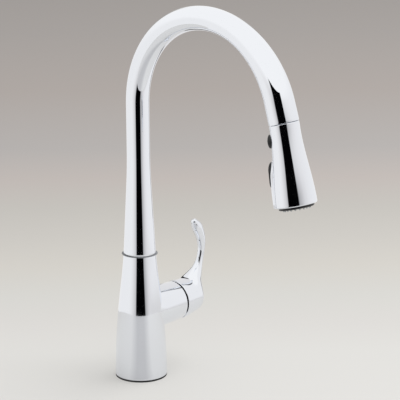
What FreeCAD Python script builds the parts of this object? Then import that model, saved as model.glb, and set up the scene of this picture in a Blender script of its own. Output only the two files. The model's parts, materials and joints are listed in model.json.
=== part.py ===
import FreeCAD, Part
import math
import os

from FreeCAD import Placement, Rotation, Vector

# A single-hole pull-down kitchen faucet in millimetres.
# Z is up, the deck is the plane Z = 0 and the column stands on the Z axis.
# The spout reaches towards -Y and the lever is on the +X side.

# Fits that every piece shares
RUN_GAP = 0.3
FIT = 0.05
OVERRUN = 6.0

# Column: one smooth taper from the base to the riser of the spout
BASE_RADIUS = 28.4
TUBE_RADIUS = 12.5
TAPER_HEIGHT = 250.0
TAPER_HEIGHT_SHARES = (0.0, 0.2, 0.36, 0.5, 0.64, 0.82, 1.0)
TAPER_RADIUS_SHARES = (1.0, 0.89, 0.65, 0.395, 0.25, 0.1, 0.0)
BODY_WALL = 3.2
BODY_FLOOR = 10.0
BODY_NECK = 12.5
GASKET_THICKNESS = 1.7
GASKET_INSET = 0.3
SEAM_HEIGHT = 139.3
RING_THICKNESS = 0.6
RING_RADIUS = 19.8

# Swivel post inside the foot of the spout
POST_RADIUS = 10.6
POST_BORE_RADIUS = 7.5
POST_RISE_SHARE = 0.47
BUSH_RADIUS = 13.3
BUSH_LENGTH_SHARE = 0.21
BUSH_SPREAD_SHARE = 0.577
CLIP_THICKNESS = 1.2
CLIP_DEPTH = 0.8
CLIP_RADIUS = 12.6
CLIP_OPENING = 8.0

# Spout: riser, arch and the run that holds the dock
RISER_TOP = 306.0
ARCH_RADIUS = 102.8
ARCH_TURN = 163.0
END_RUN = 20.4
FLARE_TURN = 95.0
FLARE_STEPS = 8
DOCK_END_RADIUS = 15.5
TUBE_WALL = 1.5
DOCK_WALL = 2.3
COLLAR_LENGTH = 16.0
COLLAR_BORE_RADIUS = 10.1
MAGNET_BORE_RADIUS = 7.0
GUIDE_CLEARANCE = 13.2
GUIDE_LENGTH = 12.0
GUIDE_BORE_RADIUS = 5.4

# Hose inside the spout
HOSE_RADIUS = 4.5
HOSE_DROP = 72.0
CONNECTOR_RADIUS = 7.0
CONNECTOR_LENGTH = 24.0
CONNECTOR_BARB = 1.2

# Fixing below the deck
SHANK_RADIUS = 17.0
SHANK_BORE_RADIUS = 14.3
SHANK_RISE = 28.0
SHANK_DROP = 58.0
DECK_THICKNESS = 30.0
WASHER_RADIUS = 27.0
WASHER_THICKNESS = 2.0
NUT_RADIUS = 28.0
NUT_HEIGHT = 12.0
NUT_CHAMFER = 1.5
SCREW_RADIUS = 2.5
SCREW_HEAD_RADIUS = 4.2
SCREW_HEAD_HEIGHT = 4.0
SCREW_CIRCLE_RADIUS = 22.0
SCREW_COUNT = 2
INLET_RADIUS = 4.4
INLET_BORE_RADIUS = 3.0
INLET_OFFSET = 9.6
INLET_DROP = 66.0

# Manifold inside the column
MANIFOLD_RADIUS = 21.0
MANIFOLD_TOP = 50.0
HOSE_PASSAGE_RADIUS = 5.0
SEAT_BACK = 5.4
SEAT_FACE = 9.5
SEAT_HALF_WIDTH = 15.0
SEAT_TOP = 90.0

# Side boss that holds the mixing cartridge
BOSS_HEIGHT = 72.5
BOSS_FACE = 51.7
BOSS_RADIUS = 21.7
BOSS_FLARE = 1.8
BOSS_EDGE = 0.6
BOSS_BORE_RADIUS = 17.8
CARTRIDGE_RADIUS = 17.5
CARTRIDGE_BORE_RADIUS = 14.5
CARTRIDGE_END = 36.0
CARTRIDGE_LIP = 2.7
CARTRIDGE_MOUTH_RADIUS = 9.0
SEAL_PLATE_THICKNESS = 4.0
PORT_CIRCLE_RADIUS = 7.5
PORT_RADIUS = 2.4
PORT_COUNT = 3
SEAL_RADIUS = 3.6
SEAL_DEPTH = 1.5
FIXED_DISC_RADIUS = 14.3
FIXED_DISC_THICKNESS = 4.0
MOVING_DISC_RADIUS = 9.5
MOVING_DISC_THICKNESS = 4.0
DISC_GAP = 0.1
RECESS_RADIUS = 3.6
RECESS_DEPTH = 2.4
ROTOR_LENGTH = 10.6
ROTOR_SLOT_HALF_HEIGHT = 8.0
PIVOT_PLACE = 29.0
PIN_RADIUS = 1.5
PIN_HALF_LENGTH = 12.0
STEM_RADIUS = 4.0
STEM_END = 70.0
STEM_TIP_RADIUS = 2.6
STEM_TIP_LENGTH = 4.0
LOCK_NUT_LENGTH = 7.0
LOCK_NUT_BORE_RADIUS = 11.0
LOCK_NUT_SLOT = 3.0
LOCK_NUT_SLOTS = 4
BONNET_LENGTH = 6.5
BONNET_MOUTH_RADIUS = 12.6
BONNET_WALL = 1.4

# Lever handle
HUB_GAP = 2.4
HUB_WALL = 2.0
HUB_CAVITY = 8.0
LEVER_REACH = 46.4
LEVER_RISE = 86.0
# One row per section from the hub to the tip: inner point and outer point, each along
# the reach and up the rise, and the half width against the boss radius.
LEVER_SECTION_SHARES = (
    (0.0, 0.252, 0.0, -0.252, 1.0),
    (0.095, 0.253, 0.105, -0.25, 0.995),
    (0.227, 0.243, 0.4, -0.214, 1.0),
    (0.377, 0.247, 0.621, -0.168, 0.95),
    (0.482, 0.285, 0.723, -0.045, 0.721),
    (0.587, 0.337, 0.778, 0.113, 0.434),
    (0.701, 0.399, 0.861, 0.287, 0.249),
    (0.792, 0.495, 0.938, 0.457, 0.171),
    (0.828, 0.615, 1.002, 0.614, 0.188),
    (0.788, 0.729, 0.997, 0.758, 0.234),
    (0.703, 0.821, 0.929, 0.877, 0.267),
    (0.638, 0.895, 0.845, 0.959, 0.256),
    (0.618, 0.949, 0.754, 0.994, 0.173),
    (0.624, 0.993, 0.68, 1.014, 0.073),
)
SECTION_POINTS = 16
SET_SCREW_RADIUS = 2.4
SET_SCREW_PLACE = 67.0
SET_SCREW_LENGTH = 8.0
PLUG_LENGTH = 3.0

# Spray head
SEAM_GAP = 0.4
HEAD_LENGTH = 82.5
HEAD_LEAN = 6.0
HEAD_TURN = 20.0
HEAD_RIM_TURN = 2.4
HEAD_TOP_RADIUS = 15.4
HEAD_RIM_RADIUS = 21.4
HEAD_FLARE_START_SHARE = 0.08
HEAD_WALL = 2.2
HEAD_SECTIONS = 9
NECK_RADIUS = 9.7
NECK_LENGTH = 15.5
NECK_BORE_RADIUS = 6.6
NECK_FLANGE_RADIUS = 12.4
NECK_FLANGE_THICKNESS = 3.5
NECK_GROOVE_PLACE = 9.0
NECK_GROOVE_WIDTH = 2.4
NECK_GROOVE_DEPTH = 1.3
HOSE_END_RADIUS = 6.3
WATERWAY_RADIUS = 8.5
WATERWAY_BORE_RADIUS = 6.0
WATERWAY_END_SHARE = 0.68
FORMER_RADIUS = 15.8
FACE_RADIUS = 18.2
FACE_DROP = 2.8
FACE_DEPTH = 5.5
FACE_EDGE = 1.2
NOZZLE_RADIUS = 0.95
NOZZLE_TIP_RADIUS = 0.65
NOZZLE_DROP = 1.4
NOZZLE_CIRCLE_SHARES = (0.75, 0.53)
NOZZLE_COUNTS = (20, 12)
AERATOR_RADIUS = 6.2
AERATOR_BORE_RADIUS = 4.8
AERATOR_DROP = 0.8
AERATOR_MESH_BAR = 0.5
CHECK_VALVE_LENGTH = 14.0

# Keys on the back of the head
BUTTON_PLACE_SHARE = 0.184
BUTTON_LENGTH_SHARE = 0.085
BUTTON_HALF_WIDTH = 8.0
BUTTON_PROUD = 4.2
BUTTON_DEPTH = 4.0
BUTTON_CROWN_RADIUS = 13.0
ROCKER_PLACE_SHARE = 0.605
ROCKER_LENGTH_SHARE = 0.172
ROCKER_HALF_WIDTH = 8.0
ROCKER_PROUD = 4.4
ROCKER_PEAK = 6.0
ROCKER_DEPTH = 6.0
ROCKER_CROWN_RADIUS = 48.0
ROCKER_END_GAP = 0.9
ROCKER_PIN_DEPTH = 4.2
ROCKER_PIN_RADIUS = 1.0
ROCKER_PIN_HALF_LENGTH = 11.0
KEY_STEP_SHARE = 0.02
KEY_CORNER_SHARE = 0.96
BEZEL_START_SHARE = 0.4
BEZEL_END_SHARE = 1.05
BEZEL_HALF_WIDTH = 9.8
BEZEL_EDGE = 0.5
BEZEL_PROUD = 2.4
BEZEL_FOOT_SHARE = 0.45

# Directions of the dock
TILT = math.radians(180.0 - ARCH_TURN)
DOCK_DOWN = Vector(0, -math.sin(TILT), -math.cos(TILT))
SPOUT_BACK = Vector(0, math.cos(TILT), -math.sin(TILT))
HEAD_BACK = Rotation(DOCK_DOWN, -HEAD_TURN).multVec(SPOUT_BACK)
HEAD_SIDE = HEAD_BACK.cross(DOCK_DOWN)
X_AXIS = Vector(1, 0, 0)
Y_AXIS = Vector(0, 1, 0)
Z_AXIS = Vector(0, 0, 1)
BOSS_CENTRE = Vector(0, 0, BOSS_HEIGHT)

pieces = {}


def smooth(share):
    """A soft step from 0 to 1 with level ends."""
    held = min(max(share, 0.0), 1.0)
    return held * held * (3.0 - 2.0 * held)


def rod(radius, start, end):
    """A cylinder between two points."""
    run = end - start
    return Part.makeCylinder(radius, run.Length, start, run)


def tube(outer, inner, start, end):
    """A straight tube between two points."""
    return rod(outer, start, end).cut(rod(inner, start, end))


def up(height):
    """A point on the column axis."""
    return Vector(0, 0, height)


def across(place):
    """A point on the axis of the side boss."""
    return BOSS_CENTRE + X_AXIS * place


def spun(points, origin, axis, out):
    """A profile of (along, radius) points turned about an axis."""
    corners = [origin + axis * along + out * radius for along, radius in points]
    outline = Part.makePolygon(corners + corners[:1])
    return Part.Face(outline).revolve(origin, axis, 360)


def slab(low, high):
    """A wide block between two heights, used to trim the column."""
    side = 2 * (BASE_RADIUS + OVERRUN)
    return Part.makeBox(side, side, high - low, Vector(-side / 2, -side / 2, low))


def hexagon(radius, start, axis, length):
    """A hexagonal bar with the given corner radius."""
    frame = Placement(start, Rotation(Z_AXIS, axis))
    corners = [Vector(radius * math.cos(turn), radius * math.sin(turn), 0)
               for turn in (math.radians(60 * step) for step in range(6))]
    outline = Part.makePolygon([frame.multVec(c) for c in corners + corners[:1]])
    return Part.Face(outline).extrude(axis * length)


# Column

BODY_TOP = SEAM_HEIGHT - RING_THICKNESS / 2
RING_TOP = SEAM_HEIGHT + RING_THICKNESS / 2
SPOUT_FOOT = RING_TOP + RUN_GAP
FLOOR_TOP = GASKET_THICKNESS + BODY_FLOOR
NECK_BOTTOM = BODY_TOP - BODY_NECK
POST_RISE = (TAPER_HEIGHT - SEAM_HEIGHT) * POST_RISE_SHARE
POST_TOP = BODY_TOP + POST_RISE


def taper(inset):
    """The column's outline turned about Z, drawn in by a wall."""
    points = []
    for height_share, radius_share in zip(TAPER_HEIGHT_SHARES, TAPER_RADIUS_SHARES):
        radius = TUBE_RADIUS + (BASE_RADIUS - TUBE_RADIUS) * radius_share - inset
        points.append(Vector(radius, 0, TAPER_HEIGHT * height_share))
    side = Part.BSplineCurve()
    side.interpolate(Points=points, InitialTangent=Z_AXIS, FinalTangent=Z_AXIS)
    corners = [points[-1], up(TAPER_HEIGHT), up(0), points[0]]
    edges = [side.toShape(), Part.makePolygon(corners)]
    outline = Part.Wire([edges[0]] + edges[1].Edges)
    return Part.Face(outline).revolve(up(0), Z_AXIS, 360)


def boss():
    """The side boss: a slightly flared round socket with a broken edge."""
    profile = ((0, 0), (0, BOSS_RADIUS + BOSS_FLARE), (BOSS_FACE - BOSS_EDGE, BOSS_RADIUS),
               (BOSS_FACE, BOSS_RADIUS - BOSS_EDGE), (BOSS_FACE, 0))
    return spun(profile, BOSS_CENTRE, X_AXIS, Z_AXIS)


def make_column():
    shell = taper(0).common(slab(GASKET_THICKNESS, BODY_TOP)).fuse(boss())
    shell = shell.cut(taper(BODY_WALL).common(slab(FLOOR_TOP, NECK_BOTTOM)))
    shell = shell.cut(rod(BOSS_BORE_RADIUS, across(SEAT_FACE), across(BOSS_FACE + OVERRUN)))
    shell = shell.cut(rod(POST_RADIUS, up(NECK_BOTTOM - OVERRUN), up(BODY_TOP + OVERRUN)))
    shell = shell.cut(rod(SHANK_RADIUS, up(0), up(FLOOR_TOP + OVERRUN)))
    pieces["body_shell"] = shell
    pieces["deck_gasket"] = tube(BASE_RADIUS - GASKET_INSET, SHANK_RADIUS, up(0), up(GASKET_THICKNESS))
    pieces["swivel_ring"] = tube(RING_RADIUS, POST_RADIUS, up(BODY_TOP), up(RING_TOP))


def make_swivel():
    clip_low = POST_TOP - 2 * CLIP_THICKNESS
    clip_high = clip_low + CLIP_THICKNESS
    groove_radius = POST_RADIUS - CLIP_DEPTH
    post = tube(POST_RADIUS, POST_BORE_RADIUS, up(NECK_BOTTOM), up(POST_TOP))
    post = post.cut(tube(POST_RADIUS, groove_radius, up(clip_low), up(clip_high)))
    pieces["swivel_post"] = post
    clip = tube(CLIP_RADIUS, groove_radius, up(clip_low), up(clip_high))
    opening = Part.makeBox(CLIP_RADIUS, CLIP_OPENING, CLIP_THICKNESS,
                           Vector(0, -CLIP_OPENING / 2, clip_low))
    pieces["spout_retaining_clip"] = clip.cut(opening)
    upper_top = clip_low - RUN_GAP
    bush_length = POST_RISE * BUSH_LENGTH_SHARE
    lower_top = upper_top - POST_RISE * BUSH_SPREAD_SHARE
    for name, top in (("lower_bush", lower_top), ("upper_bush", upper_top)):
        pieces[name] = tube(BUSH_RADIUS, POST_RADIUS + FIT, up(top - bush_length), up(top))


# Spout

ARCH_CENTRE = Vector(0, -ARCH_RADIUS, RISER_TOP)
ARCH_LENGTH = math.radians(ARCH_TURN - FLARE_TURN) * ARCH_RADIUS
FLARE_LENGTH = ARCH_LENGTH + END_RUN


def on_arch(turn):
    """A point of the arch and its direction, by the angle turned from the riser."""
    angle = math.radians(turn)
    away = Vector(0, math.cos(angle), math.sin(angle))
    heading = Vector(0, -math.sin(angle), math.cos(angle))
    return ARCH_CENTRE + away * ARCH_RADIUS, heading


ARCH_END = on_arch(ARCH_TURN)[0]
DOCK = ARCH_END + DOCK_DOWN * END_RUN


def below_dock(depth):
    """A point on the dock axis, measured down from the seam of the spout and the head."""
    return DOCK + DOCK_DOWN * depth


def bent_rod(radius, turn):
    """The even stretch of the arch as a bent rod."""
    circle = Part.Face(Part.Wire(Part.makeCircle(radius, up(RISER_TOP), Z_AXIS)))
    return circle.revolve(ARCH_CENTRE, X_AXIS, turn)


def flared_rod(inset, end_inset):
    """The stretch that swells from the arch to the dock."""
    wires = []
    for step in range(FLARE_STEPS + 1):
        run = FLARE_LENGTH * step / FLARE_STEPS
        if run < ARCH_LENGTH:
            centre, heading = on_arch(FLARE_TURN + math.degrees(run / ARCH_RADIUS))
        else:
            centre = ARCH_END + DOCK_DOWN * (run - ARCH_LENGTH)
            heading = DOCK_DOWN
        swell = smooth(run / FLARE_LENGTH)
        radius = TUBE_RADIUS + (DOCK_END_RADIUS - TUBE_RADIUS) * swell
        wall = inset + (end_inset - inset) * swell
        wires.append(Part.Wire(Part.makeCircle(radius - wall, centre, heading)))
    return Part.makeLoft(wires, True, False)


def spout_form(inset, end_inset, low):
    """The riser, arch and flared end as one rod."""
    riser = rod(TUBE_RADIUS - inset, up(low), up(RISER_TOP))
    return riser.fuse([bent_rod(TUBE_RADIUS - inset, FLARE_TURN), flared_rod(inset, end_inset)])


def make_spout():
    foot = taper(0).common(slab(SPOUT_FOOT, TAPER_HEIGHT))
    shell = foot.fuse(spout_form(0, 0, TAPER_HEIGHT))
    bore = spout_form(TUBE_WALL, DOCK_WALL + RUN_GAP, SPOUT_FOOT)
    dock_bore = rod(DOCK_END_RADIUS - DOCK_WALL, ARCH_END, below_dock(OVERRUN))
    bush_bore = rod(BUSH_RADIUS, up(SPOUT_FOOT - OVERRUN), up(POST_TOP))
    shell = shell.cut(bore).cut(dock_bore).cut(bush_bore)
    pieces["spout_shell"] = shell
    bore_radius = DOCK_END_RADIUS - DOCK_WALL
    collar_top = below_dock(-COLLAR_LENGTH)
    pieces["dock_collar"] = tube(bore_radius, COLLAR_BORE_RADIUS, collar_top, below_dock(0))
    pieces["dock_magnet"] = tube(bore_radius, MAGNET_BORE_RADIUS, below_dock(-END_RUN), collar_top)
    guide_low = POST_TOP + GUIDE_CLEARANCE
    guide_high = guide_low + GUIDE_LENGTH
    pieces["hose_guide"] = tube(TUBE_RADIUS - TUBE_WALL, GUIDE_BORE_RADIUS, up(guide_low), up(guide_high))


def make_hose():
    start = up(-HOSE_DROP)
    arch_top = on_arch(ARCH_TURN / 2)[0]
    run = [Part.makeLine(start, up(RISER_TOP)), Part.Arc(up(RISER_TOP), arch_top, ARCH_END).toShape()]
    fitting_top = below_dock(-END_RUN + RUN_GAP)
    run.append(Part.makeLine(ARCH_END, fitting_top))
    section = Part.Wire(Part.makeCircle(HOSE_RADIUS, start, Z_AXIS))
    pieces["pull_down_hose"] = Part.Wire(run).makePipeShell([section], True, False)
    waist = HOSE_RADIUS + CONNECTOR_BARB
    profile = ((0, 0), (0, waist), (CONNECTOR_LENGTH / 3, waist), (CONNECTOR_LENGTH / 3, CONNECTOR_RADIUS),
               (CONNECTOR_LENGTH * 2 / 3, CONNECTOR_RADIUS), (CONNECTOR_LENGTH * 2 / 3, waist),
               (CONNECTOR_LENGTH, HOSE_RADIUS), (CONNECTOR_LENGTH, 0))
    pieces["hose_connector"] = spun(profile, start, -Z_AXIS, X_AXIS)


# Fixing and water supply below the deck

def make_fixing():
    pieces["mounting_shank"] = tube(SHANK_RADIUS, SHANK_BORE_RADIUS, up(-SHANK_DROP), up(SHANK_RISE))
    washer_low = -DECK_THICKNESS - WASHER_THICKNESS
    hole_radius = SHANK_RADIUS + RUN_GAP
    pieces["mounting_washer"] = tube(WASHER_RADIUS, hole_radius, up(washer_low), up(-DECK_THICKNESS))
    nut_low = washer_low - NUT_HEIGHT
    nut = hexagon(NUT_RADIUS, up(nut_low), Z_AXIS, NUT_HEIGHT)
    flat = NUT_RADIUS * math.cos(math.radians(30))
    bevel = ((0, 0), (0, flat), (NUT_CHAMFER, NUT_RADIUS), (NUT_HEIGHT - NUT_CHAMFER, NUT_RADIUS),
             (NUT_HEIGHT, flat), (NUT_HEIGHT, 0))
    nut = nut.common(spun(bevel, up(nut_low), Z_AXIS, X_AXIS))
    nut = nut.cut(rod(SHANK_RADIUS, up(nut_low - OVERRUN), up(washer_low + OVERRUN)))
    screws = []
    for step in range(SCREW_COUNT):
        angle = 2 * math.pi * step / SCREW_COUNT
        out = Vector(SCREW_CIRCLE_RADIUS * math.cos(angle), SCREW_CIRCLE_RADIUS * math.sin(angle), 0)
        shaft = rod(SCREW_RADIUS, out + up(nut_low - SCREW_HEAD_HEIGHT), out + up(washer_low))
        head_low = out + up(nut_low - 2 * SCREW_HEAD_HEIGHT)
        head = hexagon(SCREW_HEAD_RADIUS, head_low, Z_AXIS, SCREW_HEAD_HEIGHT)
        nut = nut.cut(shaft)
        screws.append(shaft.fuse(head))
    pieces["mounting_nut"] = nut
    pieces["tension_screws"] = Part.makeCompound(screws)


def make_supply():
    block = rod(MANIFOLD_RADIUS, up(SHANK_RISE), up(MANIFOLD_TOP))
    seat = Part.makeBox(SEAT_FACE - SEAT_BACK, 2 * SEAT_HALF_WIDTH, SEAT_TOP - MANIFOLD_TOP,
                        Vector(SEAT_BACK, -SEAT_HALF_WIDTH, MANIFOLD_TOP))
    block = block.fuse(seat).cut(rod(HOSE_PASSAGE_RADIUS, up(0), up(SEAT_TOP)))
    pieces["valve_manifold"] = block
    places = (("hot_inlet", -X_AXIS), ("cold_inlet", X_AXIS), ("outlet_tube", Y_AXIS))
    for name, side in places:
        foot = side * INLET_OFFSET - Z_AXIS * INLET_DROP
        pipe = rod(INLET_RADIUS, foot, side * INLET_OFFSET + up(SHANK_RISE))
        bore = rod(INLET_BORE_RADIUS, foot, side * INLET_OFFSET + up(SHANK_RISE))
        pieces[name] = pipe.cut(bore)


# Mixing cartridge

PLATE_END = SEAT_FACE + SEAL_PLATE_THICKNESS
FIXED_END = PLATE_END + FIXED_DISC_THICKNESS
MOVING_START = FIXED_END + DISC_GAP
MOVING_END = MOVING_START + MOVING_DISC_THICKNESS
ROTOR_START = MOVING_END + RUN_GAP
ROTOR_END = ROTOR_START + ROTOR_LENGTH


def port_rods(radius, start, end):
    """Round passages at the ports of the cartridge."""
    rods = []
    for step in range(PORT_COUNT):
        angle = 2 * math.pi * step / PORT_COUNT + math.pi / 2
        out = Vector(0, PORT_CIRCLE_RADIUS * math.cos(angle), PORT_CIRCLE_RADIUS * math.sin(angle))
        rods.append(rod(radius, across(start) + out, across(end) + out))
    return rods


def make_cartridge():
    housing = tube(CARTRIDGE_RADIUS, CARTRIDGE_BORE_RADIUS, across(SEAT_FACE), across(CARTRIDGE_END))
    lip = tube(CARTRIDGE_BORE_RADIUS, CARTRIDGE_MOUTH_RADIUS, across(CARTRIDGE_END - CARTRIDGE_LIP),
               across(CARTRIDGE_END))
    pieces["cartridge_housing"] = housing.fuse(lip)
    plate = rod(CARTRIDGE_BORE_RADIUS, across(SEAT_FACE), across(PLATE_END))
    plate = plate.cut(port_rods(PORT_RADIUS, SEAT_FACE, PLATE_END))
    plate = plate.cut(port_rods(SEAL_RADIUS, SEAT_FACE, SEAT_FACE + SEAL_DEPTH))
    pieces["seal_plate"] = plate
    rings = port_rods(SEAL_RADIUS, SEAT_FACE, SEAT_FACE + SEAL_DEPTH)
    holes = port_rods(PORT_RADIUS, SEAT_FACE, SEAT_FACE + SEAL_DEPTH)
    pieces["port_seals"] = Part.makeCompound([ring.cut(hole) for ring, hole in zip(rings, holes)])
    disc = rod(FIXED_DISC_RADIUS, across(PLATE_END), across(FIXED_END))
    pieces["fixed_ceramic_disc"] = disc.cut(port_rods(PORT_RADIUS, PLATE_END, FIXED_END))
    disc = rod(MOVING_DISC_RADIUS, across(MOVING_START), across(MOVING_END))
    recess = rod(RECESS_RADIUS, across(MOVING_END - RECESS_DEPTH), across(MOVING_END))
    pieces["moving_ceramic_disc"] = disc.cut(recess)
    rotor = rod(CARTRIDGE_BORE_RADIUS - RUN_GAP, across(ROTOR_START), across(ROTOR_END))
    slot_half = STEM_RADIUS + RUN_GAP
    slot = Part.makeBox(ROTOR_LENGTH, 2 * slot_half, 2 * ROTOR_SLOT_HALF_HEIGHT,
                        across(ROTOR_START) - Y_AXIS * slot_half - Z_AXIS * ROTOR_SLOT_HALF_HEIGHT)
    pin = rod(PIN_RADIUS, across(PIVOT_PLACE) - Y_AXIS * PIN_HALF_LENGTH,
              across(PIVOT_PLACE) + Y_AXIS * PIN_HALF_LENGTH)
    pieces["cartridge_rotor"] = rotor.cut(slot).cut(pin)
    pieces["pivot_pin"] = pin
    tip_start = MOVING_END - RECESS_DEPTH + RUN_GAP
    stem = rod(STEM_RADIUS, across(tip_start + STEM_TIP_LENGTH), across(STEM_END))
    stem = stem.fuse(rod(STEM_TIP_RADIUS, across(tip_start), across(tip_start + STEM_TIP_LENGTH)))
    pin_hole = rod(PIN_RADIUS + FIT, across(PIVOT_PLACE) - Y_AXIS * PIN_HALF_LENGTH,
                   across(PIVOT_PLACE) + Y_AXIS * PIN_HALF_LENGTH)
    pieces["cartridge_stem"] = stem.cut(pin_hole)
    nut_end = CARTRIDGE_END + LOCK_NUT_LENGTH
    nut = tube(BOSS_BORE_RADIUS, LOCK_NUT_BORE_RADIUS, across(CARTRIDGE_END), across(nut_end))
    for step in range(LOCK_NUT_SLOTS):
        notch = Part.makeBox(LOCK_NUT_SLOT, LOCK_NUT_SLOT, BOSS_BORE_RADIUS,
                             across(nut_end - LOCK_NUT_SLOT) - Y_AXIS * LOCK_NUT_SLOT / 2)
        notch.rotate(across(nut_end), X_AXIS, 360.0 * step / LOCK_NUT_SLOTS)
        nut = nut.cut(notch)
    pieces["cartridge_nut"] = nut
    dome = ((0, BOSS_BORE_RADIUS), (BONNET_LENGTH / 2, BOSS_BORE_RADIUS),
            (BONNET_LENGTH, BONNET_MOUTH_RADIUS), (BONNET_LENGTH - BONNET_WALL, BONNET_MOUTH_RADIUS),
            (0, BOSS_BORE_RADIUS - BONNET_WALL))
    pieces["bonnet"] = spun(dome, across(nut_end), X_AXIS, Z_AXIS)


# Lever handle

HUB_START = BOSS_FACE + HUB_GAP


def lever_section(inner_along, inner_up, outer_along, outer_up, width_share):
    """An oval across the lever, drawn from its inner point to its outer point."""
    inner = across(HUB_START + LEVER_REACH * inner_along) + Z_AXIS * LEVER_RISE * inner_up
    outer = across(HUB_START + LEVER_REACH * outer_along) + Z_AXIS * LEVER_RISE * outer_up
    centre = (inner + outer) / 2
    half = (inner - outer) / 2
    wide = Y_AXIS * BOSS_RADIUS * width_share
    points = []
    for step in range(SECTION_POINTS):
        angle = 2 * math.pi * step / SECTION_POINTS
        points.append(centre + half * math.cos(angle) + wide * math.sin(angle))
    oval = Part.BSplineCurve()
    oval.interpolate(Points=points, PeriodicFlag=True)
    return Part.Wire(oval.toShape())


def make_handle():
    sections = [lever_section(*row) for row in LEVER_SECTION_SHARES]
    lever = Part.makeLoft(sections, True, False)
    cavity = rod(BOSS_RADIUS - HUB_WALL, across(HUB_START - OVERRUN), across(HUB_START + HUB_CAVITY))
    socket = rod(STEM_RADIUS, across(HUB_START), across(STEM_END))
    screw_place = across(SET_SCREW_PLACE)
    screw_hole = rod(SET_SCREW_RADIUS, screw_place, screw_place - Z_AXIS * (BOSS_RADIUS + OVERRUN))
    pieces["lever_handle"] = lever.cut(cavity).cut(socket).cut(screw_hole)
    screw_top = screw_place - Z_AXIS * STEM_RADIUS
    screw_low = screw_top - Z_AXIS * SET_SCREW_LENGTH
    screw = rod(SET_SCREW_RADIUS, screw_low, screw_top)
    drive = hexagon(SET_SCREW_RADIUS / 2, screw_low, Z_AXIS, SET_SCREW_LENGTH / 3)
    pieces["handle_set_screw"] = screw.cut(drive).cut(rod(STEM_RADIUS, across(HUB_START), across(STEM_END)))
    pieces["set_screw_plug"] = rod(SET_SCREW_RADIUS, screw_low - Z_AXIS * PLUG_LENGTH, screw_low)


# Spray head

BUTTON_HALF_LENGTH = HEAD_LENGTH * BUTTON_LENGTH_SHARE
ROCKER_HALF_LENGTH = HEAD_LENGTH * ROCKER_LENGTH_SHARE


def head_frame(share):
    """The centre of a section of the head and the direction it faces."""
    centre = below_dock(SEAM_GAP + HEAD_LENGTH * share) + HEAD_BACK * HEAD_LEAN * share
    turn = math.radians(HEAD_RIM_TURN) * share
    return centre, DOCK_DOWN * math.cos(turn) + HEAD_BACK * math.sin(turn)


def head_radius(share):
    """The head swells softly from its neck to its rim."""
    run = (share - HEAD_FLARE_START_SHARE) / (1.0 - HEAD_FLARE_START_SHARE)
    return HEAD_TOP_RADIUS + (HEAD_RIM_RADIUS - HEAD_TOP_RADIUS) * smooth(run)


def head_form(inset, first=0.0, last=1.0):
    """The form of the head between two shares of its length, drawn in by inset(share)."""
    wires = []
    for step in range(HEAD_SECTIONS):
        share = first + (last - first) * step / (HEAD_SECTIONS - 1)
        centre, facing = head_frame(share)
        wires.append(Part.Wire(Part.makeCircle(head_radius(share) - inset(share), centre, facing)))
    return Part.makeLoft(wires, True, False)


def head_core(first, first_radius, last, last_radius):
    """A core along the middle of the head between two sections."""
    wires = []
    for share, radius in ((first, first_radius), (last, last_radius)):
        centre, facing = head_frame(share)
        wires.append(Part.Wire(Part.makeCircle(radius, centre, facing)))
    return Part.makeLoft(wires, True, True)


def back_point(share):
    """The middle of the back of the head."""
    centre, facing = head_frame(share)
    return centre + facing.cross(HEAD_SIDE) * head_radius(share)


def key_frame(share):
    """A frame on the back of the head: X across, Y up the surface and Z straight out of it."""
    along = back_point(share - KEY_STEP_SHARE) - back_point(share + KEY_STEP_SHARE)
    along.normalize()
    return Placement(back_point(share), Rotation(HEAD_SIDE, along, HEAD_SIDE.cross(along), "ZXY"))


def key_prism(share, half_width, half_length, depth):
    """A key with rounded ends, from below the back of the head to well above it."""
    corner = min(half_width, half_length) * KEY_CORNER_SHARE
    box = Part.makeBox(2 * half_width, 2 * half_length, depth + OVERRUN,
                       Vector(-half_width, -half_length, -depth))
    uprights = [edge for edge in box.Edges if abs(edge.Vertexes[0].Z - edge.Vertexes[1].Z) > depth]
    box = box.makeFillet(corner, uprights)
    box.Placement = key_frame(share)
    return box


def crown(share, proud, peak, radius):
    """A ball whose top gives a key its rounded crown."""
    return Part.makeSphere(radius, key_frame(share).multVec(Vector(0, peak, proud - radius)))


def bezel_proud(share):
    """How far the key bezel stands off: a thin start, most along the rocker and less at the rim."""
    rise = (share - BEZEL_START_SHARE) / (ROCKER_PLACE_SHARE - BEZEL_START_SHARE)
    fall = min(1.0, (1.0 - share) / (1.0 - ROCKER_PLACE_SHARE))
    height_share = smooth(rise) * (BEZEL_FOOT_SHARE + (1.0 - BEZEL_FOOT_SHARE) * fall)
    return BEZEL_EDGE + (BEZEL_PROUD - BEZEL_EDGE) * height_share


def rocker_pin(radius):
    frame = key_frame(ROCKER_PLACE_SHARE)
    ends = [frame.multVec(Vector(side * ROCKER_PIN_HALF_LENGTH, 0, -ROCKER_PIN_DEPTH)) for side in (-1, 1)]
    return rod(radius, ends[0], ends[1])


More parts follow.
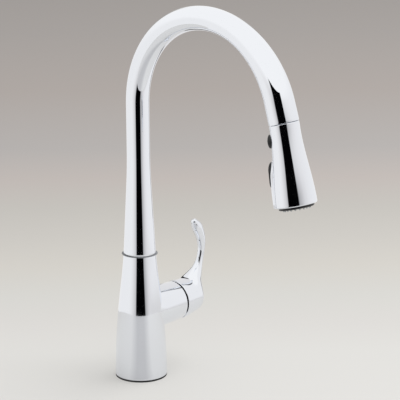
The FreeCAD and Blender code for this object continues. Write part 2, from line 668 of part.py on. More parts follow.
def make_head_shell():
    wall_share = HEAD_WALL / HEAD_LENGTH
    shell = head_form(lambda share: 0.0)
    shell = shell.cut(head_form(lambda share: HEAD_WALL, wall_share, 1.0 - wall_share))
    shell = shell.cut(rod(NECK_RADIUS, below_dock(-OVERRUN), below_dock(SEAM_GAP + HEAD_WALL + OVERRUN)))
    rim, facing = head_frame(1.0)
    shell = shell.cut(rod(FACE_RADIUS, rim - facing * (HEAD_WALL + OVERRUN), rim + facing * OVERRUN))
    button_hole = key_prism(BUTTON_PLACE_SHARE, BUTTON_HALF_WIDTH + RUN_GAP, BUTTON_HALF_LENGTH + RUN_GAP,
                            BUTTON_DEPTH + OVERRUN)
    rocker_hole = key_prism(ROCKER_PLACE_SHARE, ROCKER_HALF_WIDTH + RUN_GAP,
                            ROCKER_HALF_LENGTH + ROCKER_END_GAP, ROCKER_DEPTH + OVERRUN)
    pieces["head_shell"] = shell.cut([button_hole, rocker_hole, rocker_pin(ROCKER_PIN_RADIUS)])
    middle = (BEZEL_START_SHARE + BEZEL_END_SHARE) / 2
    bezel_half = HEAD_LENGTH * (BEZEL_END_SHARE - BEZEL_START_SHARE) / 2
    bezel = key_prism(middle, BEZEL_HALF_WIDTH, bezel_half, ROCKER_DEPTH)
    bezel = bezel.common(head_form(lambda share: -bezel_proud(share), BEZEL_START_SHARE, 1.0))
    pieces["key_bezel"] = bezel.cut(head_form(lambda share: 0.0)).cut(rocker_hole)


def make_keys():
    button = key_prism(BUTTON_PLACE_SHARE, BUTTON_HALF_WIDTH, BUTTON_HALF_LENGTH, BUTTON_DEPTH)
    pieces["spray_button"] = button.common(crown(BUTTON_PLACE_SHARE, BUTTON_PROUD, 0, BUTTON_CROWN_RADIUS))
    rocker = key_prism(ROCKER_PLACE_SHARE, ROCKER_HALF_WIDTH, ROCKER_HALF_LENGTH, ROCKER_DEPTH)
    rocker = rocker.common(crown(ROCKER_PLACE_SHARE, ROCKER_PROUD, ROCKER_PEAK, ROCKER_CROWN_RADIUS))
    pieces["spray_rocker"] = rocker.cut(rocker_pin(ROCKER_PIN_RADIUS + FIT))
    pieces["rocker_pin"] = rocker_pin(ROCKER_PIN_RADIUS)


def make_head_core():
    flange_start = SEAM_GAP + HEAD_WALL + FIT
    flange_end = flange_start + NECK_FLANGE_THICKNESS
    groove_high = NECK_GROOVE_PLACE + NECK_GROOVE_WIDTH
    groove_radius = NECK_RADIUS - NECK_GROOVE_DEPTH
    neck = ((-NECK_LENGTH, NECK_BORE_RADIUS), (-NECK_LENGTH, NECK_RADIUS), (-groove_high, NECK_RADIUS),
            (-groove_high, groove_radius), (-NECK_GROOVE_PLACE, groove_radius),
            (-NECK_GROOVE_PLACE, NECK_RADIUS), (flange_start, NECK_RADIUS),
            (flange_start, NECK_FLANGE_RADIUS), (flange_end, NECK_FLANGE_RADIUS),
            (flange_end, NECK_BORE_RADIUS))
    pieces["head_neck"] = spun(neck, DOCK, DOCK_DOWN, X_AXIS)
    pieces["neck_seal"] = tube(NECK_RADIUS, groove_radius, below_dock(-groove_high),
                               below_dock(-NECK_GROOVE_PLACE))
    fitting_top = -END_RUN + RUN_GAP
    fitting = rod(HOSE_END_RADIUS, below_dock(fitting_top), below_dock(flange_end - RUN_GAP))
    pieces["hose_end_fitting"] = fitting
    core_share = (flange_end + FIT - SEAM_GAP) / HEAD_LENGTH
    valve_share = core_share + CHECK_VALVE_LENGTH / HEAD_LENGTH
    waterway = head_core(core_share, WATERWAY_RADIUS, WATERWAY_END_SHARE, WATERWAY_RADIUS)
    valve = head_core(core_share, WATERWAY_BORE_RADIUS, valve_share, WATERWAY_BORE_RADIUS)
    pieces["check_valve"] = valve
    pieces["head_waterway"] = waterway.cut(valve)
    face_share = 1.0 - (FACE_DEPTH + FIT) / HEAD_LENGTH
    pieces["spray_former"] = head_core(WATERWAY_END_SHARE, WATERWAY_RADIUS, face_share, FORMER_RADIUS)


def make_spray_face():
    rim, facing = head_frame(1.0)
    across_face = HEAD_SIDE
    edge = FACE_RADIUS - FACE_EDGE
    profile = ((-FACE_DEPTH, 0), (-FACE_DEPTH, FORMER_RADIUS), (0, FACE_RADIUS),
               (FACE_DROP - FACE_EDGE, FACE_RADIUS), (FACE_DROP, edge), (FACE_DROP, 0))
    face = spun(profile, rim, facing, across_face)
    face = face.cut(rod(AERATOR_RADIUS, rim, rim + facing * (FACE_DROP + OVERRUN)))
    nozzles = []
    for circle_share, count in zip(NOZZLE_CIRCLE_SHARES, NOZZLE_COUNTS):
        for step in range(count):
            out = Rotation(facing, 360.0 * step / count).multVec(across_face) * FACE_RADIUS * circle_share
            start = rim + out
            nozzle = Part.makeCone(NOZZLE_RADIUS, NOZZLE_TIP_RADIUS, FACE_DROP + NOZZLE_DROP, start, facing)
            nozzles.append(nozzle)
    pieces["spray_face"] = face.cut(nozzles)
    pieces["spray_nozzles"] = Part.makeCompound(nozzles)
    aerator = tube(AERATOR_RADIUS, AERATOR_BORE_RADIUS, rim, rim + facing * (FACE_DROP + AERATOR_DROP))
    for step in range(2):
        bar = Part.makeBox(2 * AERATOR_BORE_RADIUS, AERATOR_MESH_BAR, FACE_DROP,
                           Vector(-AERATOR_BORE_RADIUS, -AERATOR_MESH_BAR / 2, 0))
        bar.rotate(Vector(0, 0, 0), Z_AXIS, 90.0 * step)
        bar.Placement = Placement(rim, Rotation(Z_AXIS, facing)).multiply(bar.Placement)
        aerator = aerator.fuse(bar)
    pieces["aerator"] = aerator


make_column()
make_swivel()
make_spout()
make_hose()
make_fixing()
make_supply()
make_cartridge()
make_handle()
make_head_shell()
make_keys()
make_head_core()
make_spray_face()

os.makedirs("parts", exist_ok=True)
for name, piece in pieces.items():
    piece.exportStep(os.path.join("parts", name + ".step"))
    print(name, len(piece.Solids), round(piece.Volume), piece.isValid())
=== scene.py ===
# %% [markdown]
# # A chrome pull-down kitchen faucet
#
# The faucet stands on one hole in the deck. A tapered brass column carries a lever on its side and a high
# arched spout on its top, and a spray head is docked at the end of the spout. Nearly all of it is polished
# chrome, so the whole picture is made of reflections. That decides how the lesson goes: the surfaces have to
# be smooth enough to reflect cleanly, and the studio around them matters as much as their shape.

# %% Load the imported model
import json
import math

import bmesh
import bpy
import numpy as np
from mathutils import Matrix


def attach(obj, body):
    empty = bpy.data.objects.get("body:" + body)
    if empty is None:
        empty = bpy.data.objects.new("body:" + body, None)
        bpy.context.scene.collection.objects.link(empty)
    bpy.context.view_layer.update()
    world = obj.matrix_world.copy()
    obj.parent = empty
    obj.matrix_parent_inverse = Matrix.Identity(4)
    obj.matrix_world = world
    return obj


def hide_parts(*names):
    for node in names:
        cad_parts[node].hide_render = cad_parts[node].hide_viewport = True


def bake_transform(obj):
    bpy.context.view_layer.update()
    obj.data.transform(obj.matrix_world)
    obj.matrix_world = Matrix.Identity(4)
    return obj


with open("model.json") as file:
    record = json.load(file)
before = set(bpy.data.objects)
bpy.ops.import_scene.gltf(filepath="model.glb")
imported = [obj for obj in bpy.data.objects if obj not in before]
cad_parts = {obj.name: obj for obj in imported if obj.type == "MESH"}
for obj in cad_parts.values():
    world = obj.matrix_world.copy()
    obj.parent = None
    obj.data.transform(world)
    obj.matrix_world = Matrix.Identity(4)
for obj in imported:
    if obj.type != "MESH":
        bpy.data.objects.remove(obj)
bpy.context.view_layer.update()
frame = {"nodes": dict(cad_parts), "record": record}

# %% [markdown]
# ## From formulas to meshes
#
# Every new surface here is a grid: one direction runs along the piece and the other goes round it. A grid of
# points becomes a mesh by joining each point with its neighbours, and numpy can do that for all cells at
# once. Sizes are written in millimetres, as on a drawing, and turned into metres in one place.

# %% Grid to mesh
MM = 0.001
SAME_PLACE = 2e-7
SHARP = math.radians(32)


def tidy_mesh(mesh):
    """Merges points that lie on each other, turns the faces outwards and keeps only real corners sharp."""
    shape = bmesh.new()
    shape.from_mesh(mesh)
    bmesh.ops.remove_doubles(shape, verts=shape.verts, dist=SAME_PLACE)
    bmesh.ops.recalc_face_normals(shape, faces=shape.faces)
    shape.to_mesh(mesh)
    shape.free()
    mesh.polygons.foreach_set("use_smooth", np.ones(len(mesh.polygons), bool))
    mesh.set_sharp_from_angle(angle=SHARP)
    mesh.update()


def grid_mesh(name, rows, closed=False):
    """rows is (along, round, xyz), or (copies, along, round, xyz) in millimetres.
    Cell (i, j) is the quad of points (i, j), (i, j+1), (i+1, j+1), (i+1, j), with j going round."""
    rows = np.asarray(rows, float)
    copies = rows if rows.ndim == 4 else rows[None]
    count, along, around = copies.shape[:3]
    index = np.arange(count * along * around).reshape(count, along, around)
    index = np.concatenate([index, index[:, :1]], axis=1) if closed else index
    low, high = index[:, :-1], index[:, 1:]
    quads = np.stack([low, np.roll(low, -1, 2), np.roll(high, -1, 2), high], axis=-1).reshape(-1, 4)
    mesh = bpy.data.meshes.new(name)
    mesh.from_pydata((copies.reshape(-1, 3) * MM).tolist(), [], quads.tolist())
    tidy_mesh(mesh)
    return mesh


def put(name, data):
    """Adds an object with this mesh, lamp or camera to the scene."""
    item = bpy.data.objects.new(name, data)
    bpy.context.collection.objects.link(item)
    return item


def show(name, mesh, material, body, slot, *stands_for):
    """Puts a mesh into the scene as a piece of a body, and hides the CAD nodes that it stands for."""
    piece = put(name, mesh)
    mesh.materials.clear()
    mesh.materials.append(material)
    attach(piece, body)
    if stands_for:
        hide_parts(*stands_for)
    print(f"{name}: {len(mesh.polygons)} faces on {body}")
    return piece


print("edges over", round(math.degrees(SHARP)), "degrees stay sharp")

# %% [markdown]
# ## Three ways to sweep a shape
#
# A turned piece is a profile spun about an axis. A bent tube is a circle carried along a path. A key, further
# down, is an outline that shrinks towards its middle while its height follows a crown. These three ways make
# almost every piece of the faucet. Real metal never has a perfectly sharp edge, and on chrome the rounding is
# what draws the thin bright lines, so corners of a profile are rounded before it is spun.

# %% Turned and swept shapes
AROUND = 128
MOST_OF_A_SIDE = 0.45


def turns(count=AROUND):
    """Equal steps of a full turn, in radians."""
    return np.linspace(0, 2 * np.pi, count, endpoint=False)


def rounded(points, radius, steps=6):
    """Rounds every corner of a closed profile: each corner P becomes the curve
    (1-t)^2 A + 2t(1-t) P + t^2 B, where A and B lie a radius away from P on its two sides."""
    corner = np.asarray(points, float)
    before, after = np.roll(corner, 1, 0) - corner, np.roll(corner, -1, 0) - corner
    long_before = np.linalg.norm(before, axis=1, keepdims=True)
    long_after = np.linalg.norm(after, axis=1, keepdims=True)
    reach = np.minimum(np.broadcast_to(np.reshape(radius, (-1, 1)), long_before.shape),
                       MOST_OF_A_SIDE * np.minimum(long_before, long_after))
    start, end = corner + before / long_before * reach, corner + after / long_after * reach
    t = np.linspace(0, 1, steps)[None, :, None]
    curve = (1 - t) ** 2 * start[:, None] + 2 * t * (1 - t) * corner[:, None] + t ** 2 * end[:, None]
    return curve.reshape(-1, 2)


def axis_frame(axis):
    """An axis of length one, and two directions square to it and to each other."""
    axis = np.asarray(axis, float) / np.linalg.norm(axis)
    first = np.cross(axis, (1.0, 0.0, 0.0) if abs(axis[0]) < 0.9 else (0.0, 0.0, 1.0))
    first /= np.linalg.norm(first)
    return axis, first, np.cross(axis, first)


def lathe(profile, origin, axis, around=AROUND):
    """Spins a profile of (along, radius): point = origin + along * axis + radius * (cos a * e1 + sin a * e2)."""
    profile = np.asarray(profile, float)
    axis, first, second = axis_frame(axis)
    a = turns(around)[:, None]
    ring = np.cos(a) * first + np.sin(a) * second
    return origin + profile[:, :1, None] * axis + profile[:, 1:, None] * ring


def sweep(centres, headings, side, radii, around=AROUND):
    """Carries a circle along a path: point = centre + radius * (cos a * side + sin a * heading x side)."""
    a = turns(around)[None, :, None]
    other = np.cross(headings, side)
    ring = np.cos(a) * np.broadcast_to(side, other.shape)[:, None] + np.sin(a) * other[:, None]
    return centres[:, None] + np.asarray(radii)[:, None, None] * ring


print("steps round a turned piece:", AROUND)

# %% [markdown]
# ## Smooth curves and cuts
#
# The column's outline and the lever are drawn through a few measured sizes, and chrome shows every kink in such
# a line. A cubic curve whose bend changes evenly has none, so both use one. Holes and joined shapes are made with
# Blender's exact Boolean, which keeps the edge of a cut crisp.

# %% Smooth curves and cuts
def soft_step(share):
    """0 below 0, 1 above 1 and 3s^2 - 2s^3 between."""
    held = np.clip(share, 0, 1)
    return held * held * (3 - 2 * held)


def curve_through(knots, values, at, level_ends=False):
    """The smooth cubic curve through given values. Its second derivatives solve one set of linear equations;
    level_ends makes it start and end with no slope, otherwise with no bend."""
    knots, values, at = (np.asarray(x, float) for x in (knots, values, at))
    gap = np.diff(knots)
    slope = np.diff(values, axis=0) / gap.reshape((-1,) + (1,) * (values.ndim - 1))
    size = len(knots)
    matrix, right = np.eye(size), np.zeros(values.shape)
    inner = np.arange(1, size - 1)
    matrix[inner, inner - 1], matrix[inner, inner], matrix[inner, inner + 1] = (
        gap[:-1] / 6, (gap[:-1] + gap[1:]) / 3, gap[1:] / 6)
    right[1:-1] = slope[1:] - slope[:-1]
    if level_ends:
        matrix[0, :2], matrix[-1, -2:] = (gap[0] / 3, gap[0] / 6), (gap[-1] / 6, gap[-1] / 3)
        right[0], right[-1] = slope[0], -slope[-1]
    bend = np.linalg.solve(matrix, right)
    k = np.clip(np.searchsorted(knots, at, side="right") - 1, 0, size - 2)
    h = gap[k].reshape((-1,) + (1,) * (values.ndim - 1))
    u = (at - knots[k]).reshape(h.shape) / h
    return ((1 - u) * values[k] + u * values[k + 1]
            + h * h / 6 * (((1 - u) ** 3 - (1 - u)) * bend[k] + (u ** 3 - u) * bend[k + 1]))


def carve(mesh, cutters):
    """Cuts or joins solids: each cutter is (operation, mesh), done one after another."""
    work = put("carving", mesh)
    tools = []
    for operation, tool_mesh in cutters:
        tools.append(put("tool", tool_mesh))
        change = work.modifiers.new(operation, "BOOLEAN")
        change.operation, change.solver, change.object = operation, "EXACT", tools[-1]
    result = bpy.data.meshes.new_from_object(work.evaluated_get(bpy.context.evaluated_depsgraph_get()))
    for leftover in tools + [work]:
        bpy.data.objects.remove(leftover)
    tidy_mesh(result)
    return result


print("half way along, a soft step is at", soft_step(0.5))

# %% [markdown]
# ## Finishes
#
# Each material starts from what the real piece is made of. Colours are written as hex values, the way a paint
# chart gives them, and turned into the linear values that the renderer counts in. A pattern's scale is one
# over its real size, because Object coordinates are in metres.

# %% Colour and node helpers
NOISE_SPAN = {"From Min": 0.3, "From Max": 0.7}


def colour(hex_code):
    """An sRGB hex value as linear red, green, blue and alpha."""
    share = np.array([int(hex_code[i:i + 2], 16) for i in (1, 3, 5)]) / 255
    linear = np.where(share <= 0.04045, share / 12.92, ((share + 0.055) / 1.055) ** 2.4)
    return (*linear.tolist(), 1.0)


def per(size_mm):
    """A texture scale that repeats about once in so many millimetres."""
    return 1.0 / (size_mm * MM)


def feed(tree, target, inputs):
    """Fills a node's inputs; each is a value, or another node's output to link from."""
    for name, value in inputs.items():
        if isinstance(value, bpy.types.NodeSocket):
            tree.links.new(value, target.inputs[name])
        else:
            target.inputs[name].default_value = value


def node(tree, kind, inputs=None, **settings):
    """Adds one node with its settings and feeds its inputs."""
    new = tree.nodes.new(kind)
    for name, value in settings.items():
        setattr(new, name, value)
    feed(tree, new, inputs or {})
    return new


def set_stops(ramp, stops):
    """Fills a colour ramp from (place, hex colour) pairs."""
    for number, (at, hex_code) in enumerate(stops):
        ends = {0: 0, len(stops) - 1: len(ramp.elements) - 1}
        stop = ramp.elements[ends[number]] if number in ends else ramp.elements.new(at)
        stop.position, stop.color = at, colour(hex_code)


def start_material(name):
    """A new material with its tree, its shader and the node that tells where on the piece a point is."""
    material = bpy.data.materials.new(name)
    material.use_nodes = True
    tree = material.node_tree
    return material, tree, tree.nodes["Principled BSDF"], node(tree, "ShaderNodeTexCoord")


print("noise is read between", *NOISE_SPAN.values())

# %% [markdown]
# ### Chrome plate
#
# The brass is polished to a mirror, nickel plated and then flashed with chrome. What the eye gets is a sharp,
# very slightly blue reflection. A mirror with one fixed roughness looks computed, so the roughness wanders a
# little in soft patches, as it does where a buffing wheel and later a cleaning cloth have passed, and a bump
# far below a hair's width keeps long reflections from being ruler straight.

# %% Chrome plate
BUFFED_PATCH, RIPPLE, RIPPLE_DEPTH = 24.0, 9.0, 0.05


def plated(name, hex_code, rough_low, rough_high):
    """A mirror metal: roughness follows soft patches, and a faint ripple moves the normal."""
    material, tree, shader, place = start_material(name)
    spot = place.outputs["Object"]
    patches = node(tree, "ShaderNodeTexNoise", {"Vector": spot, "Scale": per(BUFFED_PATCH), "Detail": 4.0})
    rough = node(tree, "ShaderNodeMapRange", {"Value": patches.outputs["Fac"], **NOISE_SPAN,
                                             "To Min": rough_low, "To Max": rough_high})
    ripple = node(tree, "ShaderNodeTexNoise", {"Vector": spot, "Scale": per(RIPPLE), "Detail": 1.0})
    bump = node(tree, "ShaderNodeBump", {"Height": ripple.outputs["Fac"], "Strength": 0.02,
                                        "Distance": RIPPLE_DEPTH * MM})
    feed(tree, shader, {"Base Color": colour(hex_code), "Metallic": 1.0, "Roughness": rough.outputs["Result"],
                        "Normal": bump.outputs["Normal"]})
    return material


chrome = plated("polished_chrome_plate", "#F0F3F9", 0.015, 0.05)
print(chrome.name)

# %% [markdown]
# ### Moulded plastics and rubbers
#
# The keys, the spray face and the bushes are acetal, a hard plastic with a soft sheen from the etched mould.
# The gasket and seals are nitrile rubber and the nozzles are silicone, which are duller. The cartridge's discs
# are lapped ceramic and the dock's magnet is coated ferrite. All of them get a fine grain in the bump from the
# mould and a slow drift in colour and roughness from handling; only colour, roughness and grain size differ.

# %% Moulded plastics and rubbers
HANDLED_PATCH, GRAIN_DEPTH = 9.0, 0.05


def moulded(name, hex_code, dark_hex, rough_low, rough_high, grain_mm, ior):
    """A moulded surface: colour and roughness follow one slow noise, and a fine one is the grain."""
    material, tree, shader, place = start_material(name)
    spot = place.outputs["Object"]
    grain = node(tree, "ShaderNodeTexNoise", {"Vector": spot, "Scale": per(grain_mm), "Detail": 2.0})
    drift = node(tree, "ShaderNodeTexNoise", {"Vector": spot, "Scale": per(HANDLED_PATCH), "Detail": 3.0})
    tint = node(tree, "ShaderNodeValToRGB", {"Fac": drift.outputs["Fac"]})
    set_stops(tint.color_ramp, list(zip(NOISE_SPAN.values(), (dark_hex, hex_code))))
    rough = node(tree, "ShaderNodeMapRange", {"Value": drift.outputs["Fac"], **NOISE_SPAN,
                                             "To Min": rough_low, "To Max": rough_high})
    bump = node(tree, "ShaderNodeBump", {"Height": grain.outputs["Fac"], "Strength": 0.25,
                                        "Distance": GRAIN_DEPTH * MM})
    feed(tree, shader, {"IOR": ior, "Base Color": tint.outputs["Color"], "Roughness": rough.outputs["Result"],
                        "Normal": bump.outputs["Normal"]})
    return material


# Each row gives the name, the colour and its darker tint, least and most roughness, the grain in mm and the IOR.
black_acetal = moulded("black_acetal_moulded", "#1B1C1F", "#141517", 0.32, 0.45, 0.5, 1.48)
grey_acetal = moulded("grey_acetal_moulded", "#74767A", "#6A6C70", 0.35, 0.5, 0.5, 1.48)
white_acetal = moulded("white_acetal_moulded", "#E9E8E3", "#E0DFDA", 0.4, 0.5, 0.5, 1.48)
nitrile = moulded("black_nitrile_rubber", "#17171A", "#101012", 0.6, 0.8, 0.4, 1.52)
silicone = moulded("grey_silicone_rubber", "#B4B7BB", "#A4A7AB", 0.45, 0.6, 0.3, 1.41)
alumina = moulded("lapped_alumina_ceramic", "#EFEDE6", "#E6E3DA", 0.12, 0.2, 0.2, 1.76)
ferrite = moulded("coated_ferrite_magnet", "#3A3B3F", "#2E2F33", 0.4, 0.55, 0.8, 1.6)
print("moulded:", [m.name for m in (black_acetal, grey_acetal, white_acetal, nitrile, silicone, alumina, ferrite)])

# %% [markdown]
# ### Turned metals
#
# The shank, inlets and swivel post are brass and the screws and pins are stainless steel, all left as the
# lathe made them. A lathe leaves fine rings across the axis. Real feed marks are about a tenth of a
# millimetre apart, too fine to show, so they are drawn 0.8 mm apart.

# %% Turned metals
FEED_MARK, FEED_DEPTH, STAIN_PATCH = 0.8, 0.03, 14.0


def turned_metal(name, hex_code, rough_low, rough_high):
    """A turned metal: roughness follows faint stains, and rings across the axis are the tool's marks."""
    material, tree, shader, place = start_material(name)
    spot = place.outputs["Object"]
    rings = node(tree, "ShaderNodeTexWave", {"Vector": spot, "Scale": per(FEED_MARK) / (2 * math.pi),
                                            "Distortion": 1.5, "Detail": 2.0}, bands_direction="Z")
    stain = node(tree, "ShaderNodeTexNoise", {"Vector": spot, "Scale": per(STAIN_PATCH), "Detail": 3.0})
    rough = node(tree, "ShaderNodeMapRange", {"Value": stain.outputs["Fac"], **NOISE_SPAN,
                                             "To Min": rough_low, "To Max": rough_high})
    bump = node(tree, "ShaderNodeBump", {"Height": rings.outputs["Fac"], "Strength": 0.2,
                                        "Distance": FEED_DEPTH * MM})
    feed(tree, shader, {"Base Color": colour(hex_code), "Metallic": 1.0, "Roughness": rough.outputs["Result"],
                        "Normal": bump.outputs["Normal"]})
    return material


brass = turned_metal("turned_brass", "#D9B36A", 0.22, 0.38)
stainless = turned_metal("turned_stainless_steel", "#C9CACC", 0.25, 0.4)
print("turned:", brass.name, stainless.name)

# %% [markdown]
# ### Braided nylon
#
# The pull-down hose is a rubber tube in a jacket of braided nylon. The braid follows the hose, so it is drawn
# in the hose's own UV map, which counts millimetres round and along. Two sets of bands cross at an angle and
# the larger of the two makes the strand that lies on top.

# %% Braided nylon
STRAND, STRAND_DEPTH, BRAID_ANGLE = 2.4, 0.25, math.radians(35)


def braided(name, hex_code, gap_hex):
    """A braid: two slanting waves, and the higher of them at each point sets colour and bump."""
    material, tree, shader, place = start_material(name)
    bands = []
    for slant in (BRAID_ANGLE, -BRAID_ANGLE):
        turned = node(tree, "ShaderNodeMapping", {"Vector": place.outputs["UV"], "Rotation": (0, 0, slant)})
        bands.append(node(tree, "ShaderNodeTexWave", {"Vector": turned.outputs["Vector"], "Scale": 1 / (2 * STRAND),
                                                     "Distortion": 0.0}, bands_direction="X", wave_profile="SIN"))
    top = node(tree, "ShaderNodeMath", dict(enumerate(band.outputs["Fac"] for band in bands)), operation="MAXIMUM")
    tint = node(tree, "ShaderNodeValToRGB", {"Fac": top.outputs["Value"]})
    set_stops(tint.color_ramp, ((0.25, gap_hex), (0.8, hex_code)))
    bump = node(tree, "ShaderNodeBump", {"Height": top.outputs["Value"], "Strength": 0.6,
                                        "Distance": STRAND_DEPTH * MM})
    feed(tree, shader, {"Roughness": 0.55, "IOR": 1.53, "Base Color": tint.outputs["Color"],
                        "Normal": bump.outputs["Normal"]})
    return material


nylon = braided("braided_grey_nylon", "#A7A9AD", "#4C4E52")
print(nylon.name, "strands", STRAND, "mm wide")

# %% [markdown]
# ## The column
#
# The column is cast in one piece with the round boss that holds the mixing cartridge. Its outline is one soft
# S from the wide base to the slim spout, so it is a smooth curve through a few radii, spun about the upright
# axis. The boss is a second turned shape on the side. Joining them as solids, and then cutting out the inside
# and the bore, gives the crisp line that the casting has where they meet. The cutters go a little past the
# casting, so that no skin is left over an opening.

# %% Column
BASE_RADIUS, TUBE_RADIUS, TAPER_HEIGHT = 28.4, 12.5, 250.0
TAPER_HEIGHT_SHARES = np.array((0.0, 0.2, 0.36, 0.5, 0.64, 0.82, 1.0))
TAPER_RADIUS_SHARES = np.array((1.0, 0.89, 0.65, 0.395, 0.25, 0.1, 0.0))
BODY_BOTTOM, BODY_TOP, BODY_WALL = 1.7, 139.0, 3.2
SHANK_RADIUS, SHANK_SEAT, POST_RADIUS, POST_SEAT = 17.0, 11.7, 10.6, 126.5
BOSS_HEIGHT, BOSS_FACE, BOSS_RADIUS, BOSS_BORE, BORE_FLOOR = 72.5, 51.7, 21.7, 17.8, 9.5
BOSS_ROOT, BOSS_SHOULDER, ROOT_WIDER, SHOULDER_WIDER = 2.0, 20.0, 1.7, 1.1
HOLLOW_FROM, HOLLOW_TO, BORE_TO = -4.0, 144.0, 58.0
# Roundings are rows of (along, outwards) from the sharp corner that they stand for.
FOOT_ROUND = np.array(((0.0, -0.9), (0.12, -0.45), (0.45, -0.12)))
TOP_ROUND = np.array(((-0.1, -0.1), (0.0, -0.4)))
BOSS_ROUND = np.array(((-0.25, 0.0), (-0.07, -0.07), (0.0, -0.25)))
SIDE_FROM, SIDE_TO = BODY_BOTTOM + 1.2, BODY_TOP - 0.4
UP, RIGHT, FRONT_TO_BACK = np.array((0.0, 0.0, 1.0)), np.array((1.0, 0.0, 0.0)), np.array((0.0, 1.0, 0.0))
DECK, BOSS = np.zeros(3), np.array((0.0, 0.0, BOSS_HEIGHT))


def taper_radius(height):
    """Radius of the column and of the spout's foot at a height."""
    shares = curve_through(TAPER_HEIGHT_SHARES * TAPER_HEIGHT, TAPER_RADIUS_SHARES, height, level_ends=True)
    return TUBE_RADIUS + (BASE_RADIUS - TUBE_RADIUS) * shares


def make_column():
    """The spun taper joined with the spun boss, less the spun hollow and the boss's bore."""
    heights = np.linspace(SIDE_FROM, SIDE_TO, 90)
    top_radius = taper_radius(np.array([BODY_TOP]))[0]
    outside = np.vstack([(BODY_BOTTOM, 0.0), (BODY_BOTTOM, BASE_RADIUS) + FOOT_ROUND,
                         np.stack([heights, taper_radius(heights)], 1),
                         (BODY_TOP, top_radius) + TOP_ROUND, (BODY_TOP, 0.0)])
    boss = np.vstack([(BOSS_ROOT, 0), (BOSS_ROOT, BOSS_RADIUS + ROOT_WIDER),
                      (BOSS_SHOULDER, BOSS_RADIUS + SHOULDER_WIDER), (BOSS_FACE, BOSS_RADIUS) + BOSS_ROUND,
                      (BOSS_FACE, 0)])
    heights = np.linspace(SHANK_SEAT, POST_SEAT, 40)
    inside = np.vstack([[(HOLLOW_FROM, 0), (HOLLOW_FROM, SHANK_RADIUS), (SHANK_SEAT, SHANK_RADIUS)],
                        np.stack([heights, taper_radius(heights) - BODY_WALL], 1),
                        [(POST_SEAT, POST_RADIUS), (HOLLOW_TO, POST_RADIUS), (HOLLOW_TO, 0)]])
    bore = [(BORE_FLOOR, 0), (BORE_FLOOR, BOSS_BORE), (BORE_TO, BOSS_BORE), (BORE_TO, 0)]
    return carve(grid_mesh("column", lathe(outside, DECK, UP)),
                 [("UNION", grid_mesh("boss", lathe(boss, BOSS, RIGHT))),
                  ("DIFFERENCE", grid_mesh("hollow", lathe(inside, DECK, UP))),
                  ("DIFFERENCE", grid_mesh("bore", lathe(bore, BOSS, RIGHT)))])


show("column_casting", make_column(), chrome, "column", "chrome", "body_shell")

# %% [markdown]
# ### Gasket, swivel ring and bonnet
#
# The gasket under the column, the ring that the spout turns on and the bonnet that hides the cartridge nut are
# turned rings. Their rounded edges are what the photo shows of them: a dark line, a grey line and a dark gap.
# The bonnet's black is partly painted shade for the gap between boss and hub, and its collar reaches into the
# lever's hub, so that the gap stays dark when the lever is tipped.

# %% Gasket, swivel ring and bonnet
GASKET_RADIUS = 28.1
RING_PROFILE = ((BODY_TOP, POST_RADIUS), (139.0, 18.7), (139.03, 19.3), (139.08, 19.52), (139.15, 19.55),
                (139.2, 19.4), (139.24, 18.6), (139.32, 18.0), (139.6, 17.6), (139.6, POST_RADIUS))
BONNET_PROFILE = ((43.0, 17.75), (54.4, 17.75), (55.4, 16.2), (54.8, 15.4), (47.6, 15.4), (49.0, 12.6),
                  (47.6, 12.6), (43.0, 16.4))


def ring_mesh(name, low, high, inner, outer, radius, origin=DECK, axis=UP):
    """A ring of rectangular section with rounded corners."""
    section = rounded([(low, inner), (low, outer), (high, outer), (high, inner)], radius)
    return grid_mesh(name, lathe(section, origin, axis), closed=True)


show("deck_gasket_ring", ring_mesh("gasket", 0.0, BODY_BOTTOM, SHANK_RADIUS, GASKET_RADIUS, 0.15), nitrile, "column",
     "black_rubber", "deck_gasket")
show("swivel_ring_turned", grid_mesh("ring", lathe(RING_PROFILE, DECK, UP), closed=True), grey_acetal, "column",
     "grey_plastic", "swivel_ring")
# Black plastic, and partly painted shade: a dark piece in the shaded gap between boss and hub.
show("bonnet_dome", grid_mesh("bonnet", lathe(rounded(BONNET_PROFILE, 0.4), BOSS, RIGHT), closed=True), black_acetal,
     "column", "black_plastic", "bonnet")

# %% [markdown]
# ## The spout
#
# The spout is a drawn tube: its foot carries on the taper of the column, then it rises straight, bends through
# 163 degrees and swells a little towards the dock. A bevelled curve could make the tube, but not a wall with an
# inside of its own. So it is one circle carried along a path, with a radius that changes on the way. The path goes
# up the outside and comes back down the inside, and the wall has a real thickness where the end shows when the
# head is pulled out.

# %% The spout's path
SPOUT_FOOT, RISER_TOP, ARCH_RADIUS, ARCH_TURN = 139.9, 306.0, 102.8, math.radians(163.0)
END_RUN, FLARE_TURN = 20.4, math.radians(95.0)
TILT = math.pi - ARCH_TURN
DOCK_DOWN = np.array((0.0, -math.sin(TILT), -math.cos(TILT)))
ARCH_LENGTH = ARCH_TURN * ARCH_RADIUS
FLARE_START = RISER_TOP + FLARE_TURN * ARCH_RADIUS
PATH_LENGTH = RISER_TOP + ARCH_LENGTH + END_RUN


def on_path(run):
    """Point and heading after a run from the deck: straight up, round the arch, then straight down the dock."""
    run = np.asarray(run, float)
    angle = np.clip((run - RISER_TOP) / ARCH_RADIUS, 0, ARCH_TURN)
    zero = np.zeros_like(angle)
    away = np.stack([zero, np.cos(angle), np.sin(angle)], -1)
    heading = np.stack([zero, -np.sin(angle), np.cos(angle)], -1)
    before = np.minimum(run - RISER_TOP, 0)[..., None] * UP
    after = np.maximum(run - RISER_TOP - ARCH_LENGTH, 0)[..., None] * DOCK_DOWN
    return np.array((0.0, -ARCH_RADIUS, RISER_TOP)) + ARCH_RADIUS * away + before + after, heading


DOCK = on_path(PATH_LENGTH)[0]
print("path of the spout:", round(PATH_LENGTH, 1), "mm, ending at", DOCK.round(1))

